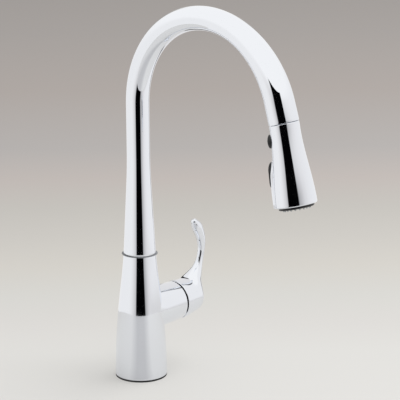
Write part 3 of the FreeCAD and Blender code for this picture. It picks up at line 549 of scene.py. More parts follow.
# %% The spout's tube
DOCK_END_RADIUS, TUBE_WALL, DOCK_WALL, DOCK_STEP, BORE_LIMIT = 15.5, 1.5, 2.3, 0.6, 1.2
POST_TOP, BUSH_RADIUS, DOCK_EASE, POST_EASE = 191.0, 13.3, 4.0, 1.0
SPOUT_FOOT_ROUND = np.array(((0.0, -0.2), (0.05, -0.05)))
SPOUT_END_ROUND = np.array(((-0.3, -0.08), (-0.1, -0.3), (0.0, -0.6)))
TUBE_FROM, TUBE_TO = SPOUT_FOOT + 0.2, PATH_LENGTH - 0.6


def spout_radius(run):
    """Outer radius along the path: the taper, the even tube and the swell before the dock."""
    swell = soft_step((run - FLARE_START) / (PATH_LENGTH - FLARE_START))
    return np.where(run < TAPER_HEIGHT, taper_radius(np.minimum(run, TAPER_HEIGHT)),
                    TUBE_RADIUS + (DOCK_END_RADIUS - TUBE_RADIUS) * swell)


def make_spout():
    """Circles along the path, as (runs, radii): foot, outside, end, dock, inside and the bore for the bushes."""
    foot, end = SPOUT_FOOT + SPOUT_FOOT_ROUND[:, 0], PATH_LENGTH + SPOUT_END_ROUND[:, 0]
    outside = np.concatenate([np.linspace(TUBE_FROM, RISER_TOP, 90)[:-1], np.linspace(RISER_TOP, TUBE_TO, 190)])
    dock_top, dock_bore = PATH_LENGTH - END_RUN, DOCK_END_RADIUS - DOCK_WALL
    inside = np.linspace(dock_top - DOCK_EASE, POST_TOP + POST_EASE, 120)
    stretches = ((foot, taper_radius(foot) + SPOUT_FOOT_ROUND[:, 1]),
                 (outside, spout_radius(outside)),
                 (end, DOCK_END_RADIUS + SPOUT_END_ROUND[:, 1]),
                 ([PATH_LENGTH, dock_top, dock_top], [dock_bore, dock_bore, dock_bore - DOCK_STEP]),
                 (inside, np.minimum(spout_radius(inside), DOCK_END_RADIUS - BORE_LIMIT) - TUBE_WALL),
                 ([POST_TOP, POST_TOP, SPOUT_FOOT], [TUBE_RADIUS - TUBE_WALL, BUSH_RADIUS, BUSH_RADIUS]))
    runs, radii = (np.concatenate(column) for column in zip(*stretches))
    return grid_mesh("spout", sweep(*on_path(runs), RIGHT, radii), closed=True)


show("spout_tube", make_spout(), chrome, "spout", "chrome", "spout_shell")

# %% [markdown]
# ### Dock collar and magnet
#
# Inside the dock sits a plastic collar that guides the neck of the head, and above it the ring magnet that
# holds the head up. They show only when the head is pulled down. The collar's mouth is well rounded, to lead the
# neck in.

# %% Dock collar and magnet
COLLAR_DEPTH, COLLAR_BORE, COLLAR_RADIUS, MAGNET_BORE = 16.0, 10.1, 13.2, 7.0
collar = rounded([(-COLLAR_DEPTH, COLLAR_BORE), (-COLLAR_DEPTH, COLLAR_RADIUS), (0.0, COLLAR_RADIUS),
                  (0.0, COLLAR_BORE)], (0.2, 0.2, 0.2, 1.4))
show("dock_collar_ring", grid_mesh("collar", lathe(collar, DOCK, DOCK_DOWN), closed=True), black_acetal, "spout",
     "black_plastic", "dock_collar")
show("dock_magnet_ring", ring_mesh("magnet", -END_RUN, -COLLAR_DEPTH, MAGNET_BORE, COLLAR_RADIUS, 0.4, DOCK, DOCK_DOWN),
     ferrite, "spout", "magnet", "dock_magnet")

# %% [markdown]
# ## The spray head
#
# The head is a shell that swells from the seam to the rim, and it leans back a little as it goes down. Its
# sections are circles whose centre, tilt and radius change with the share of its length. The head is also
# turned on the dock, so that its keys are on its far left.

# %% Head form
SEAM_GAP, HEAD_LENGTH, HEAD_LEAN = 0.4, 82.5, 6.0
HEAD_TURN, HEAD_RIM_TURN = math.radians(20.0), math.radians(2.4)
HEAD_TOP_RADIUS, HEAD_RIM_RADIUS, HEAD_FLARE_START = 15.4, 21.4, 0.08
SPOUT_BACK = np.array((0.0, math.cos(TILT), -math.sin(TILT)))
HEAD_BACK = math.cos(HEAD_TURN) * SPOUT_BACK - math.sin(HEAD_TURN) * RIGHT
HEAD_SIDE = np.cross(HEAD_BACK, DOCK_DOWN)


def head_frame(share):
    """Centre and facing of a section; facing turns from the dock's direction towards the back."""
    share = np.asarray(share, float)[..., None]
    centre = DOCK + DOCK_DOWN * (SEAM_GAP + HEAD_LENGTH * share) + HEAD_BACK * HEAD_LEAN * share
    turn = HEAD_RIM_TURN * share
    return centre, DOCK_DOWN * np.cos(turn) + HEAD_BACK * np.sin(turn)


def head_radius(share):
    """Radius of the shell: a soft step from the seam to the rim."""
    run = (share - HEAD_FLARE_START) / (1 - HEAD_FLARE_START)
    return HEAD_TOP_RADIUS + (HEAD_RIM_RADIUS - HEAD_TOP_RADIUS) * soft_step(run)


RIM, FACING = head_frame(1.0)
print("rim of the head at", RIM.round(1))

# %% [markdown]
# ### Places for the keys
#
# A frame on the back of the shell, with one direction across, one up and one straight out, places the keys, the
# holes they sit in and the bezel. A key's outline is a rounded rectangle, so nearly round that the button is
# almost a circle.

# %% Places for the keys
BUTTON, ROCKER = 0.184, 0.605
BUTTON_HOLE, ROCKER_HOLE = (8.3, 7.31), (8.3, 15.09)
HOLE_FROM, HOLE_TO = -12.0, 8.0
CORNER_SHARE = 0.96


def back_point(share):
    """The middle of the back of the shell at a share of its length."""
    centre, facing = head_frame(share)
    return centre + np.cross(facing, HEAD_SIDE) * head_radius(share)


def on_key(share, across, up, out, step=0.02):
    """Points given across, up and out of the back of the shell; up runs between two points a step to each side."""
    along = back_point(share - step) - back_point(share + step)
    along /= np.linalg.norm(along)
    outward = np.cross(HEAD_SIDE, along)
    return back_point(share) + across[..., None] * HEAD_SIDE + up[..., None] * along + out[..., None] * outward


def key_outline(half_width, half_length, steps=96):
    """A rounded rectangle: the corner circles' arc, moved out to the four corners by the sign of cos and sin."""
    corner = CORNER_SHARE * min(half_width, half_length)
    a = turns(steps) + np.pi / steps
    return np.stack([corner * np.cos(a) + np.sign(np.cos(a)) * (half_width - corner),
                     corner * np.sin(a) + np.sign(np.sin(a)) * (half_length - corner)], -1)


def key_hole(name, share, size):
    """A straight-sided plug with a key's outline, used to cut the hole that the key sits in."""
    flat = key_outline(*size)
    scale = np.array([0.0, 1.0, 1.0, 0.0])[:, None]
    out = np.broadcast_to(np.array([HOLE_FROM, HOLE_FROM, HOLE_TO, HOLE_TO])[:, None], (4, len(flat)))
    return grid_mesh(name, on_key(share, flat[:, 0] * scale, flat[:, 1] * scale, out))


print("button and rocker at", back_point(BUTTON).round(1), back_point(ROCKER).round(1))

# %% [markdown]
# ### Head shell
#
# The shell is one closed section carried round: over the top, down the outside, round the rim and back up the
# inside. The rim is a true quarter of a circle, because it draws the bright line above the dark spray face.

# %% Head shell
NECK_RADIUS, FACE_RADIUS, HEAD_WALL, RIM_ROUND, LIP_ROUND = 9.7, 18.2, 2.2, 1.3, (0.5, 0.3)
SHELL_FROM, ROOF, LIP_TOP, INSIDE_FROM, INSIDE_LIMIT = 0.0073, 0.0267, 0.965, 0.96, 18.6
HEAD_TOP_ROUND = np.array(((0.0, -0.6), (0.1 / HEAD_LENGTH, -0.3), (0.3 / HEAD_LENGTH, -0.08)))


def make_head_shell():
    """Rows of (share of the length, radius), each a circle about the head's leaning middle line."""
    shares = np.linspace(SHELL_FROM, 1 - RIM_ROUND / HEAD_LENGTH, 110)
    bend = np.radians(np.linspace(10, 90, 9))
    rim = np.stack([1 - RIM_ROUND * (1 - np.sin(bend)) / HEAD_LENGTH,
                    HEAD_RIM_RADIUS - RIM_ROUND * (1 - np.cos(bend))], 1)
    lip = [(1.0, FACE_RADIUS + LIP_ROUND[1]), (1 - LIP_ROUND[0] / HEAD_LENGTH, FACE_RADIUS), (LIP_TOP, FACE_RADIUS)]
    inside = np.linspace(INSIDE_FROM, ROOF, 30)
    rows = np.vstack([(0.0, NECK_RADIUS), (0.0, HEAD_TOP_RADIUS) + HEAD_TOP_ROUND,
                      np.stack([shares, head_radius(shares)], 1), rim, lip,
                      np.stack([inside, np.minimum(head_radius(inside) - HEAD_WALL, INSIDE_LIMIT)], 1),
                      (ROOF, NECK_RADIUS)])
    shell = grid_mesh("head", sweep(*head_frame(rows[:, 0]), HEAD_SIDE, rows[:, 1]), closed=True)
    return carve(shell, [("DIFFERENCE", key_hole("button_hole", BUTTON, BUTTON_HOLE)),
                         ("DIFFERENCE", key_hole("rocker_hole", ROCKER, ROCKER_HOLE))])


show("head_shell_spun", make_head_shell(), chrome, "spray_head", "chrome", "head_shell")

# %% [markdown]
# ### Keys
#
# The button is a small dome and the rocker a longer one with its highest point above the middle. Both are an
# outline that shrinks to a point while its height follows a ball, as the CAD solids are made; the rocker's crown
# is a little flatter here, as in the photo. The first rows are the underside and the side, and the next three
# round the edge.

# %% Keys
KEY_EDGE_SHRINK = (0.0, 0.96, 0.99, 1.0, 1.0, 0.995, 0.985, 0.97)
KEY_EDGE_DROP = np.array((0.45, 0.16, 0.04))
KEY_SIDE_ROUND = 0.3


def make_key(name, share, half_width, half_length, depth, proud, peak, ball):
    """height = proud - R + sqrt(R^2 - x^2 - (y - peak)^2) over an outline that shrinks towards its middle."""
    flat = key_outline(half_width, half_length)
    shrink = np.concatenate([KEY_EDGE_SHRINK, np.sqrt(np.linspace(0.985, 0.0, 26))[3:]])
    x, y = flat[:, 0] * shrink[:, None], flat[:, 1] * shrink[:, None]
    height = proud - ball + np.sqrt(ball ** 2 - x ** 2 - (y - peak) ** 2)
    height[:3] = -depth
    height[3] = -depth + KEY_SIDE_ROUND
    height[4:7] -= KEY_EDGE_DROP[:, None]
    return grid_mesh(name, on_key(share, x, y, height))


button = make_key("button", BUTTON, half_width=8.0, half_length=7.01, depth=4.0, proud=4.2, peak=0.0, ball=13.0)
show("spray_button_dome", button, black_acetal, "button", "black_plastic", "spray_button")
rocker = make_key("rocker", ROCKER, half_width=8.0, half_length=14.19, depth=6.0, proud=3.4, peak=4.5, ball=75.0)
show("spray_rocker_key", rocker, black_acetal, "rocker", "black_plastic", "spray_rocker")

# %% [markdown]
# ### Bezel
#
# The bezel is a raised chrome rim round the rocker. It could be a ring laid on the shell, but the real one grows out
# of it: an arc across the back of the shell whose width and height change along it, with the rocker's hole cut
# through.

# %% Bezel
BEZEL_FROM, BEZEL_TO, BEZEL_END, BEZEL_HALF = 0.40, 0.999, 1.05, 9.8
BEZEL_LOW, BEZEL_RISE, BEZEL_FOOT, BEZEL_SUNK, BEZEL_EDGE = 0.5, 1.9, 0.45, 0.9, 0.15


def make_bezel():
    """A band on the back: angle across = asin(half width / radius), raised by a slope from its edges to the hole."""
    corner = CORNER_SHARE * BEZEL_HALF
    share = BEZEL_FROM + (BEZEL_TO - BEZEL_FROM) * np.linspace(0.0, 1.0, 90) ** 1.5
    from_end = np.minimum(share - BEZEL_FROM, BEZEL_END - share) * HEAD_LENGTH
    width = BEZEL_HALF - corner + np.sqrt(np.maximum(corner ** 2 - np.maximum(corner - from_end, 0) ** 2, 0.0))
    rise = soft_step((share - BEZEL_FROM) / (ROCKER - BEZEL_FROM))
    fall = np.minimum(1.0, (1.0 - share) / (1.0 - ROCKER))
    proud = BEZEL_LOW + BEZEL_RISE * rise * (BEZEL_FOOT + (1 - BEZEL_FOOT) * fall)
    radius = head_radius(share)
    t = np.linspace(-1, 1, 41)
    across = np.sign(t) * (1 - (1 - np.abs(t)) ** 1.6)
    slope = np.minimum(1.0, (1 - np.abs(across)) / BEZEL_EDGE)
    angle = np.arcsin(width / radius)[:, None] * np.concatenate([across, across[::-1]])
    lift = np.concatenate([proud[:, None] * slope, np.full((len(share), len(t)), -BEZEL_SUNK)], 1)
    centre, facing = head_frame(share)
    back = np.cross(facing, HEAD_SIDE)
    points = centre[:, None] + (radius[:, None] + lift)[..., None] * (
        np.cos(angle)[..., None] * back[:, None] + np.sin(angle)[..., None] * HEAD_SIDE)
    middles = np.broadcast_to(points.mean(1, keepdims=True), points.shape)
    rows = np.concatenate([middles[:1], points, middles[-1:]])
    return carve(grid_mesh("bezel", rows), [("DIFFERENCE", key_hole("bezel_hole", ROCKER, ROCKER_HOLE))])


show("key_bezel_rim", make_bezel(), chrome, "spray_head", "chrome", "key_bezel")

# %% [markdown]
# ### Spray face
#
# Under the rim is a black disc with two circles of soft nozzles, which can be rubbed clean with a thumb, and
# an aerator in the middle for the plain stream. All 32 nozzles are one array: the same little turned shape
# moved to every place at once.

# %% Spray face and nozzles
FACE_PROFILE = ((-5.5, 0.0), (-5.5, 15.8), (0.0, 18.15), (1.5, 18.15), (2.1, 17.95), (2.5, 17.5), (2.7, 16.9),
                (2.8, 16.0), (2.8, 15.4), (2.55, 15.3), (2.55, 11.9), (2.8, 11.8), (2.8, 11.6), (2.55, 11.5),
                (2.55, 7.4), (2.8, 7.3), (2.8, 6.2), (0.0, 6.2), (0.0, 0.0))
NOZZLE_PROFILE = ((2.3, 0.0), (2.3, 1.1), (2.6, 0.95), (3.9, 0.68), (4.1, 0.6), (4.2, 0.45), (4.2, 0.3), (3.4, 0.25),
                  (3.4, 0.0))
NOZZLE_CIRCLES = ((0.75, 20), (0.53, 12))
FACE_ACROSS, FACE_BESIDE = axis_frame(FACING)[1:]

show("spray_face_disc", grid_mesh("face", lathe(FACE_PROFILE, RIM, FACING)), black_acetal, "spray_head",
     "black_plastic", "spray_face")
places = np.concatenate([FACE_RADIUS * part * (np.cos(a) * FACE_ACROSS + np.sin(a) * FACE_BESIDE)
                         for part, a in ((part, turns(count)[:, None]) for part, count in NOZZLE_CIRCLES)])
nozzle = lathe(NOZZLE_PROFILE, RIM, FACING, 16)
show("spray_nozzle_set", grid_mesh("nozzles", places[:, None, None] + nozzle), silicone, "spray_head",
     "nozzle_rubber", "spray_nozzles")

# %% [markdown]
# ### Aerator
#
# The aerator mixes air into the plain stream. It shows as a ring with a fine screen in its mouth. A picture of a
# screen would look flat from near by, so the screen is made of bars, one layer on the other.

# %% Aerator
AERATOR_PROFILE, AERATOR_ROUND = ((0.0, 4.8), (0.0, 6.15), (3.6, 6.15), (3.6, 4.8)), 0.35
SCREEN_RADIUS, BAR_HALF, BAR_THICK, BAR_LAYERS = 4.85, 0.17, 0.3, (2.6, 2.9)
BAR_PLACES = np.linspace(-4.2, 4.2, 9)


def make_aerator():
    """A ring and a woven screen: bars across the mouth in two directions, each a thin flat box."""
    ring = lathe(rounded(AERATOR_PROFILE, AERATOR_ROUND), RIM, FACING, 64)
    half = np.sqrt(SCREEN_RADIUS ** 2 - BAR_PLACES ** 2)[:, None, None]
    box = np.array([(-1, -1, 0), (-1, 1, 0), (-1, 1, 1), (-1, -1, 1),
                    (1, -1, 0), (1, 1, 0), (1, 1, 1), (1, -1, 1)], float)
    bars = []
    for along, beside, lift in zip((FACE_ACROSS, FACE_BESIDE), (FACE_BESIDE, FACE_ACROSS), BAR_LAYERS):
        centre = RIM + BAR_PLACES[:, None] * beside + lift * FACING
        bars.append(centre[:, None] + box[:, :1] * along * half + box[:, 1:2] * beside * BAR_HALF
                    + box[:, 2:] * FACING * BAR_THICK)
    bars = np.concatenate(bars).reshape(-1, 2, 4, 3)
    middles = np.broadcast_to(bars.mean(2, keepdims=True), bars.shape)
    bars = np.concatenate([middles[:, :1], bars, middles[:, 1:]], 1)
    shape = bmesh.new()
    shape.from_mesh(grid_mesh("aerator_ring", ring, closed=True))
    shape.from_mesh(grid_mesh("aerator_screen", bars))
    mesh = bpy.data.meshes.new("aerator")
    shape.to_mesh(mesh)
    shape.free()
    mesh.set_sharp_from_angle(angle=SHARP)
    return mesh


show("aerator_screen_ring", make_aerator(), grey_acetal, "spray_head", "grey_plastic", "aerator")

# %% [markdown]
# ### Neck
#
# The neck goes up into the dock, with a seal in a groove, and the hose's brass end turns inside it. All three are
# turned shapes on the dock's axis, so they stay in line when the head is pulled and turned.

# %% Neck, seal and hose end
FITTING_TOP, GROOVE_RADIUS, SEAL_TOP, SEAL_END, SEAL_ROUND = 20.1, 8.4, -11.35, -9.05, 0.9
NECK_PROFILE = ((-15.5, 6.6), (-15.5, NECK_RADIUS), (-11.4, NECK_RADIUS), (-11.4, GROOVE_RADIUS),
                (-9.0, GROOVE_RADIUS), (-9.0, NECK_RADIUS), (2.6, NECK_RADIUS), (2.65, 12.4), (6.15, 12.4),
                (6.15, 6.6))
NECK_ROUNDS = (0.4, 0.8, 0.2, 0.1, 0.1, 0.2, 0.02, 0.2, 0.2, 0.2)
FERRULE_PROFILE = ((-FITTING_TOP, 0), (-FITTING_TOP, 5.2), (-19.6, 5.6), (-18.4, 5.6), (-18.0, 5.2), (-17.6, 5.6),
                   (-16.6, 5.6), (-16.2, 6.3), (5.85, 6.3), (5.85, 0))

neck = lathe(rounded(NECK_PROFILE, NECK_ROUNDS), DOCK, DOCK_DOWN)
show("head_neck_tube", grid_mesh("neck", neck, closed=True), grey_acetal, "spray_head", "grey_plastic", "head_neck")
seal = ring_mesh("seal", SEAL_TOP, SEAL_END, GROOVE_RADIUS, NECK_RADIUS, SEAL_ROUND, DOCK, DOCK_DOWN)
show("neck_seal_ring", seal, nitrile, "spray_head", "black_rubber", "neck_seal")
show("hose_end_ferrule", grid_mesh("ferrule", lathe(FERRULE_PROFILE, DOCK, DOCK_DOWN, 64)), brass, "hose_end",
     "brass", "hose_end_fitting")

# %% [markdown]
# ### Hose
#
# A bevelled curve would do for the hose's shape, but a swept grid also gives the UV map that the braid needs. The
# hose is in two pieces. The long one stays in the spout. The short one runs on to the head's fitting and is not
# tied to a body here; on the real faucet that stretch draws out of the dock when the head is pulled. Its braid is
# mapped for the drawn-out length, because that is the only time it shows.

# %% Hose
HOSE_RADIUS, HOSE_DROP, HEAD_TRAVEL, HOSE_OVERLAP = 4.5, 72.0, 200.0, 0.3
STRETCH_TOP, STRETCH_END = PATH_LENGTH - 64.0, PATH_LENGTH - FITTING_TOP


def hose_piece(name, runs, mapped):
    """A tube along the path, closed at both ends, with its UV map in millimetres round and along."""
    centres, headings = on_path(runs)
    radii = np.full(len(runs), HOSE_RADIUS)
    mesh = grid_mesh(name, sweep(np.concatenate([centres[:1], centres, centres[-1:]]),
                                 np.concatenate([headings[:1], headings, headings[-1:]]), RIGHT,
                                 np.concatenate([[0], radii, [0]]), 40))
    points = np.empty(len(mesh.vertices) * 3)
    mesh.vertices.foreach_get("co", points)
    points = points.reshape(-1, 3) / MM
    nearest = np.abs(points[:, None] - centres[None]).sum(2).argmin(1)
    away = points - centres[nearest]
    other = np.cross(headings, RIGHT)[nearest]
    angle = np.arctan2((away * other).sum(1), away @ RIGHT)
    corner = np.empty(len(mesh.loops), dtype=np.int32)
    mesh.loops.foreach_get("vertex_index", corner)
    flat = np.stack([angle * HOSE_RADIUS, np.asarray(mapped)[nearest]], 1)[corner]
    mesh.uv_layers.new(name="braid").data.foreach_set("uv", flat.astype(np.float32).ravel())
    return mesh


runs = np.linspace(-HOSE_DROP, STRETCH_TOP, 160)
show("hose_in_spout", hose_piece("hose_long", runs, runs), nylon, "spout", "hose_braid", "pull_down_hose")
runs = np.linspace(STRETCH_TOP - HOSE_OVERLAP, STRETCH_END, 140)
pulled = HEAD_TRAVEL * soft_step((runs - STRETCH_TOP) / (STRETCH_END - STRETCH_TOP))
stretch = put("hose_drawn_out", hose_piece("hose_short", runs, runs + pulled))
stretch.data.materials.append(nylon)
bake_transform(stretch)
print("hose:", round(STRETCH_END + HOSE_DROP), "mm from the connector to the fitting")

# %% [markdown]
# ## The lever
#
# The lever grows out of a round hub and sweeps up and out, thin and flat, then curls back at the tip. Sculpting
# could give that form, but its reflections would wobble, so the lever is a row of ovals. Each has an inner point,
# an outer point and a width, and smooth curves through those five columns give as many ovals as the reflections
# need. The same rows run back into the hub's hollow, which clears the boss when the lever tips.

# %% Lever
HUB_START, LEVER_REACH, LEVER_RISE, BLADE_FROM, TIP_LENGTH = 54.1, 46.4, 86.0, 0.6, 3.9
LEVER_SECTION_SHARES = np.array((
    (0.0, 0.252, 0.0, -0.252, 1.0), (0.095, 0.253, 0.105, -0.25, 0.995), (0.227, 0.243, 0.4, -0.214, 1.0),
    (0.377, 0.247, 0.621, -0.168, 0.95), (0.482, 0.285, 0.723, -0.045, 0.721), (0.587, 0.337, 0.778, 0.113, 0.434),
    (0.701, 0.399, 0.861, 0.287, 0.249), (0.792, 0.495, 0.938, 0.457, 0.171), (0.828, 0.615, 1.002, 0.614, 0.188),
    (0.788, 0.729, 0.997, 0.758, 0.234), (0.703, 0.821, 0.929, 0.877, 0.267), (0.638, 0.895, 0.845, 0.959, 0.256),
    (0.618, 0.949, 0.754, 0.994, 0.178)))
HUB_PROFILE = np.array(((8.0, 0.0), (8.0, 19.7), (3.0, 19.7), (0.1, 21.0), (0.0, 21.15), (0.05, 21.4), (0.18, 21.5)))
SCREW_PLACE, SCREW_DROP, SCREW_RADIUS, SCREW_HOLE = 67.0, 4.0, 2.4, 28.0


def make_lever():
    """Oval = centre + half * cos a + width * sin a, with half the line from the outer to the inner point.
    The tip is the last oval shrinking as sqrt(1 - t^2) while it moves on by t."""
    table = LEVER_SECTION_SHARES * (LEVER_REACH, LEVER_RISE, LEVER_REACH, LEVER_RISE, BOSS_RADIUS)
    middle = (table[:, :2] + table[:, 2:4]) / 2
    knots = np.concatenate([[0], np.cumsum(np.linalg.norm(np.diff(middle, axis=0), axis=1))])
    columns = curve_through(knots, table, np.linspace(BLADE_FROM, knots[-1], 130))
    inner, outer = (columns[:, at, None] * RIGHT + columns[:, at + 1, None] * UP for at in (0, 2))
    wide = columns[:, 4, None] * FRONT_TO_BACK
    centre, half = (inner + outer) / 2, (inner - outer) / 2
    a = turns(96)[None, :, None]
    blade = centre[:, None] + half[:, None] * np.cos(a) + wide[:, None] * np.sin(a)
    heading = centre[-1] - centre[-2]
    heading /= np.linalg.norm(heading)
    t = np.sin(np.linspace(0.0, np.pi / 2, 12)[1:])[:, None, None]
    tip = centre[-1] + (blade[-1] - centre[-1]) * np.sqrt(1 - t * t) + heading * TIP_LENGTH * t
    ring = np.cos(a[0]) * UP + np.sin(a[0]) * FRONT_TO_BACK
    mouth = HUB_PROFILE[:, :1, None] * RIGHT + HUB_PROFILE[:, 1:, None] * ring
    rows = np.concatenate([mouth, blade, tip]) + BOSS + HUB_START * RIGHT
    hole = lathe([(0, 0), (0, SCREW_RADIUS), (SCREW_HOLE, SCREW_RADIUS), (SCREW_HOLE, 0)],
                 BOSS + SCREW_PLACE * RIGHT - SCREW_DROP * UP, -UP, 40)
    return carve(grid_mesh("lever", rows), [("DIFFERENCE", grid_mesh("screw_hole", hole))])


show("lever_blade", make_lever(), chrome, "handle", "chrome", "lever_handle")

# %% [markdown]
# ### Cartridge stem
#
# The lever is pushed onto a steel stem. Its inner end reaches into a pocket in the moving ceramic disc and slides
# it. The end is rounded, so that it clears the bottom of the pocket when the lever is tipped right out.

# %% Cartridge stem
STEM_PROFILE = ((19.5, 0.0), (19.5, 1.8), (19.75, 2.35), (20.3, 2.6), (23.5, 2.6), (23.5, 4.0), (70.0, 4.0),
                (70.0, 0.0))
PIVOT, PIN_RADIUS, PIN_REACH = 29.0, 1.55, 12.0
stem = grid_mesh("stem", lathe(STEM_PROFILE, BOSS, RIGHT, 64))
pin = [(-PIN_REACH, 0), (-PIN_REACH, PIN_RADIUS), (PIN_REACH, PIN_RADIUS), (PIN_REACH, 0)]
pin_hole = grid_mesh("pin_hole", lathe(pin, BOSS + PIVOT * RIGHT, FRONT_TO_BACK, 32))
show("cartridge_stem_turned", carve(stem, [("DIFFERENCE", pin_hole)]), stainless, "handle", "steel", "cartridge_stem")

# %% [markdown]
# ## What stays as the CAD made it
#
# The cartridge, the swivel post and the fixing below the deck keep their CAD shape. Each gets the finish of
# its material slot, so nothing is left in a default grey.

# %% Finishes for the remaining CAD nodes
finish_of = {"chrome": chrome, "black_plastic": black_acetal, "grey_plastic": grey_acetal,
             "white_plastic": white_acetal, "black_rubber": nitrile, "nozzle_rubber": silicone, "brass": brass,
             "steel": stainless, "ceramic": alumina, "magnet": ferrite, "hose_braid": nylon}
slot_of = {part["node"]: part["material_slot"] for part in frame["record"]["subparts"]}
for name, cad_node in frame["nodes"].items():
    cad_node.data.materials.clear()
    cad_node.data.materials.append(finish_of[slot_of[name]])
print(len(slot_of), "CAD nodes have a finish")

# %% [markdown]
# ## The studio
#
# A chrome object is lit by what stands around it. Photographers close it in with white cards and leave one gap,
# and the dark room in that gap draws the black line down the middle of a tube. Before the cards comes the floor:
# one pale sheet, painted darker with distance as painted shade for the light falling off over a paper sweep.

# %% Studio sheets
TO_CAMERA, TO_RIGHT = np.array((-0.71495, -0.69918, 0.0)), np.array((0.69918, -0.71495, 0.0))


def turn_share(degrees):
    """A bearing from -180 to 180 degrees, counted from the camera's side, as a share of a full turn."""
    return 0.5 + degrees / 360


def stage_piece(name, rows, material):
    """A flat or curved sheet of the studio from a grid of points in metres, with a UV map over the grid."""
    rows = np.asarray(rows, float)
    high, wide = rows.shape[:2]
    index = np.arange(high * wide).reshape(high, wide)
    quads = np.stack([index[:-1, :-1], index[:-1, 1:], index[1:, 1:], index[1:, :-1]], -1).reshape(-1, 4)
    mesh = bpy.data.meshes.new(name)
    mesh.from_pydata(rows.reshape(-1, 3).tolist(), [], quads.tolist())
    flat = np.stack([quads % wide / (wide - 1), quads // wide / (high - 1)], -1)
    mesh.uv_layers.new(name="sheet").data.foreach_set("uv", flat.astype(np.float32).ravel())
    mesh.materials.append(material)
    item = put(name, mesh)
    return item


print("the camera looks from", TO_CAMERA)

# %% Floor
FLOOR_HALF, FLOOR_PAINTED_GLOW, FLOOR_TAKES = 8.0, 0.49, 0.35
# Painted shade: the floor's pale colour is painted darker with distance from the camera, for the light falling off.
FLOOR_DISTANCE_SHADE = ((-0.30, "#E0DFDD"), (0.07, "#DCDBD8"), (0.17, "#D8D6D3"), (0.28, "#D3D2CE"), (0.40, "#CFCCC6"),
              (0.54, "#C7C4BF"), (0.68, "#C0BDB8"), (0.84, "#BCB5B1"), (1.03, "#B1ADAB"), (1.45, "#ABA4A0"),
              (2.0, "#A49F9C"), (2.4, "#A19C99"))
# Painted reflection: the dark gap between the cards, painted on the floor in a fan by bearing.
GAP_PAINTED_REFLECTION = ((-42.0, "#FFFFFF"), (-14.0, "#E2E2E4"), (16.0, "#E2E2E4"), (42.0, "#FFFFFF"))
PAINTED_REFLECTION_BEGINS, PAINTED_REFLECTION_FULL = 0.026, 0.04

floor_paint, tree, shader, place = start_material("pale_studio_floor")
spot = place.outputs["Object"]
depth = node(tree, "ShaderNodeVectorMath", {0: spot, 1: tuple(-TO_CAMERA)}, operation="DOT_PRODUCT")
nearest, farthest = FLOOR_DISTANCE_SHADE[0][0], FLOOR_DISTANCE_SHADE[-1][0]
share = node(tree, "ShaderNodeMapRange", {"Value": depth.outputs["Value"], "From Min": nearest, "From Max": farthest})
distance_shade = node(tree, "ShaderNodeValToRGB", {"Fac": share.outputs["Result"]})
set_stops(distance_shade.color_ramp, [((at - nearest) / (farthest - nearest), hex_code) for at, hex_code in FLOOR_DISTANCE_SHADE])
# Painted reflection: in a fan in front of the faucet the floor's colour is darkened, standing for a slight sheen
# that picks up the dark gap between the cards. Only the chrome is at the right angle to see it, so it is mixed in
# for reflected rays alone.
aside = node(tree, "ShaderNodeVectorMath", {0: spot, 1: tuple(TO_RIGHT)}, operation="DOT_PRODUCT")
ahead = node(tree, "ShaderNodeVectorMath", {0: spot, 1: tuple(TO_CAMERA)}, operation="DOT_PRODUCT")
bearing = node(tree, "ShaderNodeMath", {0: aside.outputs["Value"], 1: ahead.outputs["Value"]}, operation="ARCTAN2")
turn = node(tree, "ShaderNodeMapRange", {"Value": bearing.outputs["Value"], "From Min": -math.pi, "From Max": math.pi})
gap_reflection_paint = node(tree, "ShaderNodeValToRGB", {"Fac": turn.outputs["Result"]})
set_stops(gap_reflection_paint.color_ramp, [(turn_share(at), hex_code) for at, hex_code in GAP_PAINTED_REFLECTION])
reflection_onset = node(tree, "ShaderNodeMapRange", {"Value": ahead.outputs["Value"], "From Min": PAINTED_REFLECTION_BEGINS,
                                         "From Max": PAINTED_REFLECTION_FULL})
ray = node(tree, "ShaderNodeLightPath")
reach = node(tree, "ShaderNodeMath", {0: reflection_onset.outputs["Result"], 1: ray.outputs["Is Glossy Ray"]},
             operation="MULTIPLY")
painted_floor_shading = node(tree, "ShaderNodeMix", {"Factor": reach.outputs["Value"], "A": distance_shade.outputs["Color"],
                                    "B": gap_reflection_paint.outputs["Color"]}, data_type="RGBA", blend_type="MULTIPLY")
# Half of its brightness is painted light, a glow of its own colour with no lamp behind it, so the faucet's shadow on it
# stays faint.
lit_part = node(tree, "ShaderNodeMix", {"Factor": 1.0, "A": painted_floor_shading.outputs["Result"], "B": (*[FLOOR_TAKES] * 3, 1.0)},
                data_type="RGBA", blend_type="MULTIPLY")
feed(tree, shader, {"Base Color": lit_part.outputs["Result"], "Emission Color": painted_floor_shading.outputs["Result"],
                    "Emission Strength": FLOOR_PAINTED_GLOW, "Roughness": 0.9, "Specular IOR Level": 0.1})
stage_piece("studio_floor", [[(x, y, 0) for x in (-FLOOR_HALF, FLOOR_HALF)] for y in (-FLOOR_HALF, FLOOR_HALF)],
            floor_paint)
print("floor fades over", farthest - nearest, "m")

# %% [markdown]
# ### Cards
#
# The cards are one curved wall round the faucet that the camera does not see: white with a black stretch, and with
# a narrow second one behind the faucet for views from there. Close to the black the white is shaded, which makes
# the line's soft edges. A real set would have several cards; one wall with painted stretches gives the same
# reflections and has no seams.

